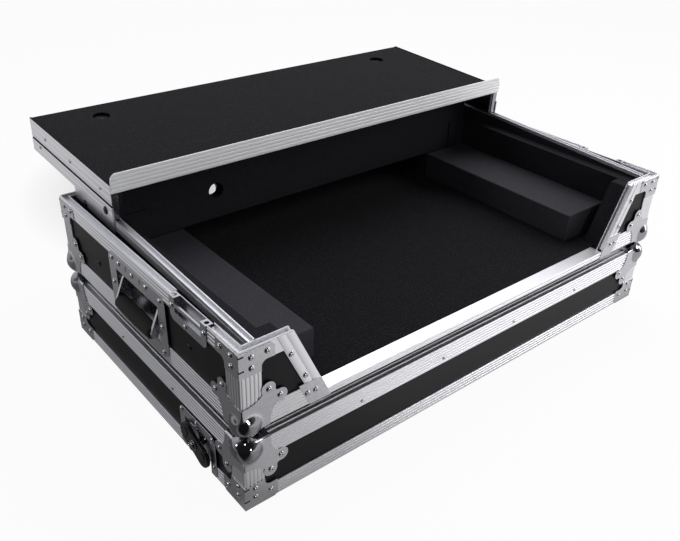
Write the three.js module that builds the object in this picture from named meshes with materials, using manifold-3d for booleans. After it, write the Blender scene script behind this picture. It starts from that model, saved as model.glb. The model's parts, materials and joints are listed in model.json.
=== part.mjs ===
// A flight case for a disc jockey's controller, standing open on its own lid.
// The lid is a shallow tray with its rim down. The base stands on the lid's four ball corners,
// its front wall cut away in a V, and carries a laptop shelf that slides on two inclined rails.
// Millimetres, +Z up, -Y to the front. Inside the lid and base groups, y is 0 at the front face
// and z is 0 at the lowest edge of that half.

import * as THREE from "three";
import { mergeVertices } from "three/addons/utils/BufferGeometryUtils.js";
import Module from "manifold-3d";

const wasm = await Module();
wasm.setup();

// Whole case
const caseWidth = 800;
const caseDepth = 476;
const lidHeight = 99;
const baseHeight = 115.2;

// Stock and clearances
const clearance = 0.3;
const extrusionWall = 1.5;
const panelThickness = 7;
const sheet = 1.2;
const overrun = 5;

// Edge angles, corner posts and closing rims
const edgeWidth = 29;
const postWidth = 28;
const rimFace = 21.5;
const rimGroove = 4.5;
const tongueHeight = 3;
const tongueWidth = 4.6;

// Front wall: what the V cut leaves at the top and bottom, and the low sill between
const returnTopWidth = 72;
const returnBottomWidth = 126;
const sillDepth = 21;
const jointPlateWidth = 29;
const jointPlateHeight = 34;

// Right-angled braces where posts meet the rims
const braceArm = 46;
const braceFillet = 8;
const lidBraceHeight = 36;
const lidBraceArmHeight = 25;
const baseBraceHeight = 33;
const baseBraceArmHeight = 19;
const baseBraceDrop = 2;

// Ball corners
const ballRadius = 21;
const ballInset = 12;
const cornerLeg = 37;
const cornerLobeNear = 36;
const cornerLobeFar = 52;
const cornerLobeRadius = 9.5;
const cornerWaist = 20;

// Butterfly latches: a dish in the lid with a key and a hook, a keep in the base
const latchFromFront = 106;
const backLatchSpacing = 430;
const dishWidth = 86;
const dishTop = 67;
const dishFoot = 2;
const dishBorder = 12;
const dishDepth = 8.6;
const dishCornerRadius = 9;
const keyHeight = 30;
const keyHubRadius = 6;
const keyProud = 11;
const wingThickness = 3.2;
const wingStandOff = 1.6;
const wingTipRadius = 15;
const wingReach = 31;
const wingWaist = 13;
const wingTilt = 30;
const hookWidth = 30;
const hookThickness = 2.4;
const hookTip = 13;
const hookTop = 52.5;
const hookTravel = 11;
const hookStandOff = 1.2;
const hookLip = 2.4;
const keepWidth = 84;
const keepHeight = 33;
const keepBorder = 11;
const keepCornerRadius = 9;
const keepCatch = 2.6;
const keepCatchHeight = 5;
const keepCatchDrop = 8;
const keepHoleRadius = 3;
const keepRimShoulder = 11;

// Side handles: a pressed dish, a steel bail on pivots and a rubber grip
const handleFromFront = 240;
const handleWidth = 155;
const handleFoot = 5;
const handleBelowTop = 16.2;
const handleSideBorder = 19;
const handleTopBorder = 20;
const handleFootBorder = 17.5;
const handleCornerRadius = 10;
const handleDepth = 16;
const pivotDrop = 14;
const pivotInset = 8;
const pivotRadius = 3;
const pivotBossRadius = 6.5;
const pivotBossLength = 4;
const bailArmThickness = 4;
const bailArmRadius = 6;
const bailArmGap = 2.3;
const gripFootGap = 1.7;
const bailRodRadius = 4;
const gripRadius = 10.5;
const gripProud = 5;

// Lining
const carpetThickness = 3;
const columnStart = 12;
const columnDepth = 29;
const columnSetback = 8;
const columnBelowRail = 3.6;
const ledgeFromCentre = 257;
const ledgeFront = 56;
const ledgeHeight = 45.5;
const liningBelowRail = 3;
const liningInner = 49;
const cornerPadInner = 88;
const cornerPadFromRear = 96;
const partitionFromRear = 94;
const partitionThickness = 18;
const partitionAboveTop = 29.5;
const partitionSideGap = 1.2;
const cableHoleRadius = 12.5;
const cableHoleX = -195.5;
const cableHoleHeight = 45;

// Rails, inclined so that the shelf clears the rear rim
const railSlope = 2.33;
const railFront = 14;
const railBelowTop = 6.5;
const railRearGap = 13;
const railInset = 20.1;
const railWidth = 9.5;
const railBase = 2;
const railRidge = 4;

// Laptop shelf, in the inclined frame of the rails
const shelfInset = 19.7;
const shelfOnRails = 130;
const shelfDepth = 283;
const shelfTop = 55.5;
const shelfCarpet = 2.2;
const shelfBoard = 6.5;
const lipTop = 73;
const lipThickness = 2;
const lipLeg = 22;
const lipLegThickness = 1.3;
const lipCornerRadius = 10;
const trimHeight = 30.5;
const trimLap = 10;
const trimFlange = 12;
const bracketFoot = 4.5;
const bracketDeepFoot = -13.5;
const bracketDeepLength = 128;
const bracketRearGap = 3;
const glideWidth = 13.5;
const glideLength = 124;
const glideSetback = 3;
const shelfHoleRadius = 13.5;
const shelfHoleFromCentre = 286;
const shelfHoleFromRear = 47;

// Facets, and how far apart two vertices still count as one
const weldTolerance = 1e-5;
const arcSteps = 3;
const ballSteps = 16;
const roundSteps = 12;

// Derived sizes
const halfWidth = caseWidth / 2;
const skin = extrusionWall + clearance;
const wallInner = skin + panelThickness;
const rimWidth = wallInner + skin;
const sillTop = wallInner + clearance + extrusionWall;
const ballProud = ballRadius - ballInset;
const stackGap = 2 * ballProud + clearance;
const rimWeb = rimGroove + extrusionWall;
const plateBack = clearance;
const plateFront = clearance + sheet;
const slope = THREE.MathUtils.degToRad(railSlope);
const railLevel = baseHeight - railBelowTop;
const railLength = caseDepth - railFront - railRearGap;
const shelfFront = railLength - shelfOnRails;

// Finishes
const aluminium = { color: 0xc9cacc, roughness: 0.35, metalness: 0.9 };
const zinc = { color: 0xb9babd, roughness: 0.3, metalness: 1 };
const chrome = { color: 0xd8d9dc, roughness: 0.08, metalness: 1 };
const laminate = { color: 0x1c1b20, roughness: 0.5, metalness: 0 };
const carpet = { color: 0x0e0e12, roughness: 1, metalness: 0 };
const foam = { color: 0x2a292e, roughness: 0.95, metalness: 0 };
const rubber = { color: 0x121214, roughness: 0.6, metalness: 0 };
const blackPlastic = { color: 0x17171a, roughness: 0.4, metalness: 0 };

// Solids from three.js geometry

function toSolid(geometry) {
  const bare = new THREE.BufferGeometry();
  bare.setAttribute("position", geometry.getAttribute("position"));
  if (geometry.index) bare.setIndex(geometry.index);
  const merged = mergeVertices(bare, weldTolerance);
  const mesh = new wasm.Mesh({
    numProp: 3,
    vertProperties: new Float32Array(merged.attributes.position.array),
    triVerts: new Uint32Array(merged.index.array),
  });
  return new wasm.Manifold(mesh);
}

function toGeometry(solid) {
  const mesh = solid.getMesh();
  const positions = new Float32Array(mesh.numVert * 3);
  for (let i = 0; i < mesh.numVert; i++) {
    positions.set(mesh.vertProperties.subarray(i * mesh.numProp, i * mesh.numProp + 3), i * 3);
  }
  const geometry = new THREE.BufferGeometry();
  geometry.setAttribute("position", new THREE.BufferAttribute(positions, 3));
  geometry.setIndex(new THREE.BufferAttribute(new Uint32Array(mesh.triVerts), 1));
  return geometry;
}

const join = (solids) => solids.reduce((whole, next) => whole.add(next));
const cut = (solid, cutters) => cutters.reduce((left, cutter) => left.subtract(cutter), solid);

// A copy scaled by 1 or -1 along each axis and then moved; a mirrored one has its faces turned back.
function placed(solid, flips, offset) {
  const geometry = toGeometry(solid);
  geometry.applyMatrix4(new THREE.Matrix4().makeScale(...flips));
  geometry.translate(...offset);
  if (flips[0] * flips[1] * flips[2] < 0) {
    const order = geometry.index.array;
    for (let i = 0; i < order.length; i += 3) {
      [order[i], order[i + 1]] = [order[i + 1], order[i]];
    }
  }
  return toSolid(geometry);
}

// A box from its ranges along x, y and z.
function slab([x0, x1], [y0, y1], [z0, z1]) {
  const geometry = new THREE.BoxGeometry(1, 1, 1);
  const places = geometry.getAttribute("position");
  for (let i = 0; i < places.count; i++) {
    const x = places.getX(i) < 0 ? x0 : x1;
    const y = places.getY(i) < 0 ? y0 : y1;
    const z = places.getZ(i) < 0 ? z0 : z1;
    places.setXYZ(i, x, y, z);
  }
  return toSolid(geometry);
}

// An outline swept straight along one axis. The outline is drawn in (y, z), (x, z) or (x, y).
function prism(outline, axis, [from, to]) {
  const shape = Array.isArray(outline)
    ? new THREE.Shape(outline.map(([u, v]) => new THREE.Vector2(u, v)))
    : outline;
  const options = { depth: to - from, bevelEnabled: false, curveSegments: arcSteps };
  const geometry = new THREE.ExtrudeGeometry(shape, options);
  const places = geometry.getAttribute("position");
  for (let i = 0; i < places.count; i++) {
    const u = places.getX(i);
    const v = places.getY(i);
    const far = places.getZ(i) > (to - from) / 2;
    if (axis === "x") places.setXYZ(i, far ? to : from, u, v);
    if (axis === "y") places.setXYZ(i, u, far ? from : to, v);
    if (axis === "z") places.setXYZ(i, u, v, far ? to : from);
  }
  return toSolid(geometry);
}

// A round bar along an axis through a point given by its other two coordinates.
function bar(radius, axis, [u, v], [from, to]) {
  const circle = new THREE.Shape();
  circle.absarc(u, v, radius, 0, 2 * Math.PI, false);
  const points = circle.getPoints(roundSteps).slice(0, -1);
  return prism(points.map((p) => [p.x, p.y]), axis, [from, to]);
}

function ball(radius, [x, y, z]) {
  const geometry = new THREE.SphereGeometry(radius, ballSteps, ballSteps / 2);
  geometry.rotateX(Math.PI / 4);
  geometry.rotateZ(Math.PI / 4);
  geometry.translate(x, y, z);
  return toSolid(geometry);
}

// A rectangle with its own corner radius at each corner: low left, low right, top right, top left.
function roundedRect([u0, u1], [v0, v1], [r0, r1, r2, r3]) {
  const shape = new THREE.Shape();
  shape.moveTo(u0 + r0, v0);
  shape.lineTo(u1 - r1, v0);
  if (r1) shape.absarc(u1 - r1, v0 + r1, r1, -Math.PI / 2, 0, false);
  shape.lineTo(u1, v1 - r2);
  if (r2) shape.absarc(u1 - r2, v1 - r2, r2, 0, Math.PI / 2, false);
  shape.lineTo(u0 + r3, v1);
  if (r3) shape.absarc(u0 + r3, v1 - r3, r3, Math.PI / 2, Math.PI, false);
  shape.lineTo(u0, v0 + r0);
  if (r0) shape.absarc(u0 + r0, v0 + r0, r0, Math.PI, 1.5 * Math.PI, false);
  return shape;
}

// A rectangular ring round the case: everything between two insets from its outer faces.
function ring([inset, innerInset], z) {
  const across = (d) => [-halfWidth + d, halfWidth - d];
  const along = (d) => [d, caseDepth - d];
  const hole = slab(across(innerInset), along(innerInset), [z[0] - overrun, z[1] + overrun]);
  return slab(across(inset), along(inset), z).subtract(hole);
}

// The four upright corners of the case, as [side, end]: -1 or 1 across, -1 front or 1 rear.
const corners = [[-1, -1], [1, -1], [-1, 1], [1, 1]];
const cornerPlace = ([side, end], z) => [side * halfWidth, end < 0 ? 0 : caseDepth, z];

function atCorners(solid, z, up) {
  return corners.map(([side, end]) => placed(solid, [-side, -end, up], cornerPlace([side, end], z)));
}

const root = new THREE.Group();
const lid = new THREE.Group();
const base = new THREE.Group();
const rails = new THREE.Group();
root.add(lid, base);
base.add(rails);

function addPiece(group, name, solid, finish, place = {}) {
  const geometry = (solid.getMesh ? toGeometry(solid) : solid).toNonIndexed();
  geometry.computeVertexNormals();
  const mesh = new THREE.Mesh(geometry, new THREE.MeshStandardMaterial(finish));
  mesh.name = name;
  if (place.position) mesh.position.set(...place.position);
  if (place.scale) mesh.scale.set(...place.scale);
  if (place.turn) mesh.rotation.z = place.turn;
  group.add(mesh);
  return mesh;
}

// Where a latch stands on each wall: x points out of the wall, y runs along it.
const wallPlaces = [
  ["left", { position: [-halfWidth, latchFromFront, 0], scale: [-1, 1, 1] }],
  ["right", { position: [halfWidth, latchFromFront, 0] }],
  ["back_left", { position: [-backLatchSpacing / 2, caseDepth, 0], turn: Math.PI / 2 }],
  ["back_right", { position: [backLatchSpacing / 2, caseDepth, 0], turn: Math.PI / 2 }],
];

// A solid drawn at a latch, carried to all four latches for cutting.
function atLatches(solid) {
  return wallPlaces.map(([, place]) => {
    if (!place.turn) return placed(solid, place.scale || [1, 1, 1], place.position);
    const geometry = toGeometry(solid);
    geometry.rotateZ(place.turn);
    geometry.translate(...place.position);
    return toSolid(geometry);
  });
}

// Latch dish: an upside-down U of sheet on the wall round a pan that is open at the foot.
const dishInner = dishWidth / 2 - dishBorder;
const dishPanTop = dishTop - dishBorder;
const dishPocket = slab(
  [-dishDepth - clearance, overrun],
  [-dishInner - clearance, dishInner + clearance],
  [-tongueHeight - overrun, dishPanTop + clearance],
);

function latchDish() {
  const r = dishCornerRadius;
  const flange = prism(
    roundedRect([-dishWidth / 2, dishWidth / 2], [dishFoot, dishTop], [r / 2, r / 2, r, r]),
    "x", [plateBack, plateFront],
  );
  const pan = slab([-dishDepth, plateFront], [-dishInner, dishInner], [dishFoot, dishPanTop]);
  const hollow = slab(
    [-dishDepth + sheet, plateFront + overrun],
    [-dishInner + sheet, dishInner - sheet],
    [dishFoot - overrun, dishPanTop - sheet],
  );
  return join([flange, pan]).subtract(hollow);
}

// Latch key: a round hub with a butterfly wing that stands off the wall.
function latchKey() {
  const wing = new THREE.Shape();
  const reach = wingReach - wingTipRadius;
  const quarter = Math.PI / 2;
  wing.moveTo(reach, -wingTipRadius);
  wing.absarc(reach, 0, wingTipRadius, -quarter, quarter, false);
  wing.quadraticCurveTo(0, 2 * wingWaist - wingTipRadius, -reach, wingTipRadius);
  wing.absarc(-reach, 0, wingTipRadius, quarter, 3 * quarter, false);
  wing.quadraticCurveTo(0, wingTipRadius - 2 * wingWaist, reach, -wingTipRadius);
  const wingBack = plateFront + wingStandOff;
  const hubFoot = -dishDepth + sheet + clearance;
  const key = toGeometry(join([
    prism(wing, "x", [wingBack, wingBack + wingThickness]),
    bar(keyHubRadius, "x", [0, 0], [hubFoot, keyProud]),
  ]));
  key.rotateX(THREE.MathUtils.degToRad(wingTilt));
  key.translate(0, 0, keyHeight);
  return toSolid(key);
}

// Latch hook: a slotted plate behind the wing, with a lip at its tip that grips the keep.
function latchHook() {
  const back = -dishDepth + sheet + hookStandOff;
  const face = back + hookThickness;
  const half = hookWidth / 2;
  const plate = prism(
    roundedRect([-half, half], [hookTip, hookTop], [0, 0, half / 3, half / 3]), "x", [back, face],
  );
  const lip = slab([back, face + hookLip], [-half, half], [hookTip, hookTip + hookThickness]);
  const slotHalf = keyHubRadius + clearance;
  const slot = prism(
    roundedRect(
      [-slotHalf, slotHalf], [keyHeight - slotHalf, keyHeight + hookTravel + slotHalf],
      [slotHalf, slotHalf, slotHalf, slotHalf],
    ),
    "x", [back - overrun, face + overrun],
  );
  return join([plate, lip]).subtract(slot);
}

// Latch keep: a pocket open at the top, let into the rim, with a catch bar and two eared tabs.
const keepInner = keepWidth / 2 - keepBorder;
const keepFoot = baseHeight - keepHeight;
const keepPanFoot = keepFoot + keepBorder;
const keepPocket = slab(
  [-dishDepth - clearance, overrun],
  [-keepInner - clearance, keepInner + clearance],
  [keepPanFoot - clearance, baseHeight + overrun],
);
const keepRimCut = slab(
  [-rimWidth - overrun, overrun],
  [-keepWidth / 2 - clearance, keepWidth / 2 + clearance],
  [baseHeight - keepRimShoulder, baseHeight + overrun],
);

function latchKeep() {
  const r = keepCornerRadius;
  const half = keepWidth / 2;
  const flange = prism(
    roundedRect([-half, half], [keepFoot, baseHeight], [r, r, 0, 0]), "x", [plateBack, plateFront],
  );
  const pan = slab([-dishDepth, plateFront], [-keepInner, keepInner], [keepPanFoot, baseHeight]);
  const hollow = slab(
    [-dishDepth + sheet, plateFront + overrun],
    [-keepInner + sheet, keepInner - sheet],
    [keepPanFoot + sheet, baseHeight + overrun],
  );
  const tabs = slab([-dishDepth, plateFront], [-half, half], [baseHeight - sheet, baseHeight]);
  const catchTop = baseHeight - keepCatchDrop;
  const catchBar = slab(
    [plateFront - keepCatch, plateFront], [-keepInner, keepInner], [catchTop - keepCatchHeight, catchTop],
  );
  const eyes = [-1, 1].map((end) => bar(
    keepHoleRadius, "z",
    [(plateFront - dishDepth) / 2, end * (keepInner + keepBorder / 2)],
    [baseHeight - overrun, baseHeight + overrun],
  ));
  return join([cut(join([flange, pan, tabs]), [hollow]), catchBar]).subtract(join(eyes));
}

// Ball corner, drawn at the left front low corner with the case towards +x, +y and +z.
function cornerLeaf() {
  const leaf = new THREE.Shape();
  const near = cornerLobeNear;
  const far = cornerLobeFar;
  const r = cornerLobeRadius;
  const start = -plateFront;
  leaf.moveTo(start, start);
  leaf.lineTo(cornerLeg, start);
  leaf.lineTo(cornerLeg, 0);
  leaf.quadraticCurveTo(cornerLeg + clearance, cornerWaist, far - r / 2, near - r * Math.sin(Math.PI / 3));
  leaf.absarc(far, near, r, -2 * Math.PI / 3, Math.PI / 2, false);
  const middle = (near + far) / 2;
  leaf.quadraticCurveTo(middle, middle, near + r, far);
  leaf.absarc(near, far, r, 0, 7 * Math.PI / 6, false);
  leaf.quadraticCurveTo(cornerWaist, cornerLeg + clearance, 0, cornerLeg);
  leaf.lineTo(start, cornerLeg);
  return leaf;
}

function ballCorner() {
  const leaf = cornerLeaf();
  const wall = [-plateFront, -plateBack];
  const leaves = ["x", "y", "z"].map((axis) => prism(leaf, axis, wall));
  const round = ball(ballRadius, [ballInset, ballInset, ballInset]);
  const inside = [-plateBack, ballInset + ballRadius + overrun];
  return join([...leaves, round.subtract(slab(inside, inside, inside))]);
}

function addBallCorners(group, part, z, up) {
  const geometry = toGeometry(ballCorner());
  corners.forEach(([side, end]) => {
    const name = `${part}_ball_corner_${end < 0 ? "front" : "rear"}_${side < 0 ? "left" : "right"}`;
    const place = { position: cornerPlace([side, end], z), scale: [-side, -end, up] };
    addPiece(group, name, geometry, chrome, place);
  });
}

// Brace plates for an upright corner, drawn at the left front corner with the arms at z = 0.
function brace(height, armHeight) {
  const outline = new THREE.Shape();
  const fillet = braceFillet;
  outline.moveTo(-sheet, 0);
  outline.lineTo(braceArm - fillet / 2, 0);
  outline.lineTo(braceArm, fillet / 2);
  outline.lineTo(braceArm, armHeight);
  outline.lineTo(postWidth + fillet, armHeight);
  outline.absarc(postWidth + fillet, armHeight + fillet, fillet, 1.5 * Math.PI, Math.PI, true);
  outline.lineTo(postWidth, height);
  outline.lineTo(-sheet, height);
  return join([prism(outline, "x", [-sheet, 0]), prism(outline, "y", [-sheet, 0])]);
}

// Lid

function addLid() {
  const foot = skin;
  const wallTop = lidHeight - skin - panelThickness - clearance;
  const panel = (name, x, y, z, cutters = []) => {
    addPiece(lid, name, cut(slab(x, y, z), cutters), laminate);
  };
  const pockets = atLatches(dishPocket);
  const outerX = halfWidth - skin;
  const innerX = halfWidth - wallInner;
  const betweenX = [-innerX + clearance, innerX - clearance];
  const alongY = [skin, caseDepth - skin];
  panel("lid_top_panel", [-outerX, outerX], alongY, [wallTop + clearance, lidHeight - skin]);
  panel("lid_left_panel", [-outerX, -innerX], alongY, [foot, wallTop], pockets);
  panel("lid_right_panel", [innerX, outerX], alongY, [foot, wallTop], pockets);
  panel("lid_front_panel", betweenX, [skin, wallInner], [foot, wallTop]);
  panel("lid_back_panel", betweenX, [caseDepth - wallInner, caseDepth - skin], [foot, wallTop], pockets);

  const frameFoot = rimFace + clearance;
  const wide = halfWidth + overrun;
  const window = [frameFoot - overrun, lidHeight - edgeWidth];
  const shell = slab([-halfWidth, halfWidth], [0, caseDepth], [frameFoot, lidHeight]);
  const inside = slab(
    [-halfWidth + extrusionWall, halfWidth - extrusionWall],
    [extrusionWall, caseDepth - extrusionWall],
    [frameFoot - overrun, lidHeight - extrusionWall],
  );
  const edgeFrame = cut(shell, [
    inside,
    slab(
      [-halfWidth + edgeWidth, halfWidth - edgeWidth],
      [edgeWidth, caseDepth - edgeWidth],
      [lidHeight - extrusionWall - overrun, lidHeight + overrun],
    ),
    slab([-wide, wide], [postWidth, caseDepth - postWidth], window),
    slab([-halfWidth + postWidth, halfWidth - postWidth], [-overrun, caseDepth + overrun], window),
  ]);
  addPiece(lid, "lid_edge_frame", edgeFrame, aluminium);

  const tongueInset = (rimWidth - tongueWidth) / 2;
  const rim = join([
    ring([0, extrusionWall], [0, rimFace]),
    ring([rimWidth - extrusionWall, rimWidth], [0, rimFace]),
    ring([0, rimWidth], [0, extrusionWall]),
    ring([tongueInset, tongueInset + tongueWidth], [-tongueHeight, extrusionWall]),
  ]);
  const braces = atCorners(brace(lidBraceHeight, lidBraceArmHeight), 0, 1);
  addPiece(lid, "lid_rim_frame", join([cut(rim, pockets), ...braces]), aluminium);

  addBallCorners(lid, "lid", lidHeight, -1);
  const dish = toGeometry(latchDish());
  const key = toGeometry(latchKey());
  const hook = toGeometry(latchHook());
  wallPlaces.forEach(([wall, place]) => {
    addPiece(lid, `${wall}_latch_dish`, dish, zinc, place);
    addPiece(lid, `${wall}_latch_hook`, hook, zinc, place);
    addPiece(lid, `${wall}_latch_key`, key, blackPlastic, place);
  });
}

// The slanted edge of a front return: its distance from the side wall at a height, moved towards
// that wall by an offset square to the edge.
function returnEdge(z, offset) {
  const lean = (returnBottomWidth - returnTopWidth) / baseHeight;
  return returnBottomWidth - lean * z - offset * Math.hypot(1, lean);
}

// The open V between the two slanted edges, and one slanted strip beside it on the left.
function frontOpening(offset, y, [z0, z1]) {
  const low = halfWidth - returnEdge(z0, offset);
  const high = halfWidth - returnEdge(z1, offset);
  return prism([[-low, z0], [low, z0], [high, z1], [-high, z1]], "y", y);
}

function slantedStrip([near, far], y, [z0, z1]) {
  const x = (z, offset) => -halfWidth + returnEdge(z, offset);
  return prism([[x(z0, far), z0], [x(z0, near), z0], [x(z1, near), z1], [x(z1, far), z1]], "y", y);
}

const mirrorX = (solid) => placed(solid, [-1, 1, 1], [0, 0, 0]);
const bothSides = (solid) => [solid, mirrorX(solid)];

// Handle dish, bail and grip, drawn on the right wall with x = 0 at its face.
const handlePanSide = handleWidth / 2 - handleSideBorder;
const handlePanFoot = handleFoot + handleFootBorder;
const handleTop = baseHeight - handleBelowTop;
const handlePanTop = handleTop - handleTopBorder;
const pivotX = -pivotInset;
const pivotZ = handlePanTop - pivotDrop;
const gripX = gripProud;
const gripZ = handlePanFoot + gripFootGap + gripRadius;
const bossInner = handlePanSide - sheet - pivotBossLength;
const armOuter = bossInner - bailArmGap;
const armInner = armOuter - bailArmThickness;
const handlePocket = slab(
  [-handleDepth - clearance, overrun],
  [-handlePanSide - clearance, handlePanSide + clearance],
  [handlePanFoot - clearance, handlePanTop + clearance],
);

function handleDish() {
  const r = handleCornerRadius;
  const half = handleWidth / 2;
  const flange = prism(
    roundedRect([-half, half], [handleFoot, handleTop], [2 * r, 2 * r, r, r]), "x", [plateBack, plateFront],
  );
  const side = [-handlePanSide, handlePanSide];
  const pan = slab([-handleDepth, plateFront], side, [handlePanFoot, handlePanTop]);
  const hollow = slab(
    [-handleDepth + sheet, plateFront + overrun],
    [-handlePanSide + sheet, handlePanSide - sheet],
    [handlePanFoot + sheet, handlePanTop - sheet],
  );
  const bosses = [-1, 1].map((end) => {
    const reach = [bossInner, handlePanSide - sheet / 2].map((v) => end * v).sort((a, b) => a - b);
    return bar(pivotBossRadius, "y", [pivotX, pivotZ], reach);
  });
  const pinEnd = handlePanSide - sheet;
  const bore = bar(pivotRadius + clearance, "y", [pivotX, pivotZ], [-pinEnd, pinEnd]);
  return join([cut(join([flange, pan]), [hollow]), ...bosses]).subtract(bore);
}

// A flat link with round ends between two points of the (x, z) plane.
function link([x0, z0], [x1, z1], radius, y) {
  const angle = Math.atan2(z1 - z0, x1 - x0);
  const shape = new THREE.Shape();
  shape.absarc(x1, z1, radius, angle - Math.PI / 2, angle + Math.PI / 2, false);
  shape.absarc(x0, z0, radius, angle + Math.PI / 2, angle + 1.5 * Math.PI, false);
  return prism(shape, "y", y);
}

function handleBail() {
  const pivot = [pivotX, pivotZ];
  const grip = [gripX, gripZ];
  const pinReach = handlePanSide - sheet - clearance;
  const pieces = [bar(bailRodRadius, "y", grip, [-armInner - clearance, armInner + clearance])];
  [-1, 1].forEach((end) => {
    const span = (a, b) => [end * a, end * b].sort((p, q) => p - q);
    pieces.push(link(pivot, grip, bailArmRadius, span(armInner, armOuter)));
    pieces.push(bar(pivotRadius, "y", pivot, span(armOuter - clearance, pinReach)));
  });
  return join(pieces);
}

function handleGrip() {
  const half = armInner - clearance;
  const sleeve = bar(gripRadius, "y", [gripX, gripZ], [-half, half]);
  const rod = bar(bailRodRadius + clearance, "y", [gripX, gripZ], [-half - overrun, half + overrun]);
  return sleeve.subtract(rod);
}

const handlePlaces = [
  ["left", { position: [-halfWidth, handleFromFront, 0], scale: [-1, 1, 1] }],
  ["right", { position: [halfWidth, handleFromFront, 0] }],
];

// A solid drawn at a handle, carried to both handles for cutting.
function atHandles(solid) {
  return handlePlaces.map(([, { position, scale }]) => placed(solid, scale || [1, 1, 1], position));
}

function addHandles() {
  const dish = toGeometry(handleDish());
  const bail = toGeometry(handleBail());
  const grip = toGeometry(handleGrip());
  handlePlaces.forEach(([side, place]) => {
    addPiece(base, `${side}_handle_dish`, dish, zinc, place);
    addPiece(base, `${side}_handle_bail`, bail, zinc, place);
    addPiece(base, `${side}_handle_grip`, grip, rubber, place);
  });
}

// Base: laminated walls round a floor, the front one in two returns
function addBasePanels() {
  const pockets = atLatches(keepPocket);
  const handles = atHandles(handlePocket);
  const outerX = halfWidth - skin;
  const innerX = halfWidth - wallInner;
  const alongY = [skin, caseDepth - skin];
  const upZ = [wallInner + clearance, baseHeight - rimWeb - clearance];
  const panel = (name, solid, cutters) => {
    addPiece(base, name, cut(solid, cutters), laminate);
  };
  panel("base_floor_panel", slab([-outerX, outerX], alongY, [skin, wallInner]), []);
  panel("base_left_panel", slab([-outerX, -innerX], alongY, upZ), [...pockets, ...handles]);
  panel("base_right_panel", slab([innerX, outerX], alongY, upZ), [...pockets, ...handles]);
  const rear = slab(
    [-innerX + clearance, innerX - clearance], [caseDepth - wallInner, caseDepth - skin], upZ,
  );
  panel("base_back_panel", rear, pockets);
  const edge = (z) => -halfWidth + returnEdge(z, rimWeb + clearance);
  const left = -innerX + clearance;
  const front = prism(
    [[left, upZ[0]], [edge(upZ[0]), upZ[0]], [edge(upZ[1]), upZ[1]], [left, upZ[1]]],
    "y", [skin, wallInner],
  );
  panel("front_left_return_panel", front, []);
  panel("front_right_return_panel", mirrorX(front), []);
}

// Base: edge angles with the low front sill
function addBaseEdgeFrame() {
  const top = baseHeight - rimFace - clearance;
  const above = [edgeWidth, baseHeight + overrun];
  const wide = halfWidth + overrun;
  const shell = slab([-halfWidth, halfWidth], [0, caseDepth], [0, top]);
  const inside = slab(
    [-halfWidth + extrusionWall, halfWidth - extrusionWall],
    [extrusionWall, caseDepth - extrusionWall],
    [extrusionWall, baseHeight + overrun],
  );
  const underWindow = slab(
    [-halfWidth + edgeWidth, halfWidth - edgeWidth],
    [edgeWidth, caseDepth - edgeWidth],
    [-overrun, extrusionWall + overrun],
  );
  const sillHalf = halfWidth - returnEdge(sillTop, 0);
  const sill = slab([-sillHalf, sillHalf], [0, sillDepth], [sillTop - extrusionWall, sillTop]);
  const frame = cut(shell, [
    inside,
    underWindow,
    slab([-wide, wide], [postWidth, caseDepth - postWidth], above),
    slab([-halfWidth + postWidth, halfWidth - postWidth], [-overrun, caseDepth + overrun], above),
    frontOpening(rimFace + clearance, [-overrun, extrusionWall + overrun], [sillTop, edgeWidth + overrun]),
    ...atHandles(handlePocket),
  ]);
  addPiece(base, "base_edge_frame", join([frame, sill]), aluminium);
}

// Base: the grooved closing rim, carried down both slanted edges, with joint plates and braces
function addBaseRimFrame() {
  const face = [baseHeight - rimFace, baseHeight];
  const web = [baseHeight - rimWeb, baseHeight - rimGroove];
  const frontY = [-overrun, rimWidth + overrun];
  const openingZ = [0, baseHeight + overrun];
  const skins = join([
    ring([0, extrusionWall], face),
    ring([rimWidth - extrusionWall, rimWidth], face),
  ]).subtract(frontOpening(0, frontY, openingZ));
  const channel = ring([0, rimWidth], web).subtract(frontOpening(rimWeb, frontY, openingZ));
  const foot = sillTop + clearance;
  const slants = [
    slantedStrip([0, rimFace], [0, extrusionWall], [foot, baseHeight]),
    slantedStrip([0, rimFace], [rimWidth - extrusionWall, rimWidth], [foot, baseHeight]),
    slantedStrip([rimGroove, rimWeb], [0, rimWidth], [foot, web[1]]),
    slantedStrip([0, jointPlateWidth], [-sheet, 0], [0, jointPlateHeight]),
  ].flatMap(bothSides);
  const braces = atCorners(
    brace(baseBraceHeight, baseBraceArmHeight), baseHeight - baseBraceDrop, -1,
  );
  const room = [...atLatches(keepPocket), ...atLatches(keepRimCut)];
  const rim = cut(join([skins, channel, ...slants]), room);
  addPiece(base, "base_rim_frame", join([rim, ...braces]), aluminium);
}

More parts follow.
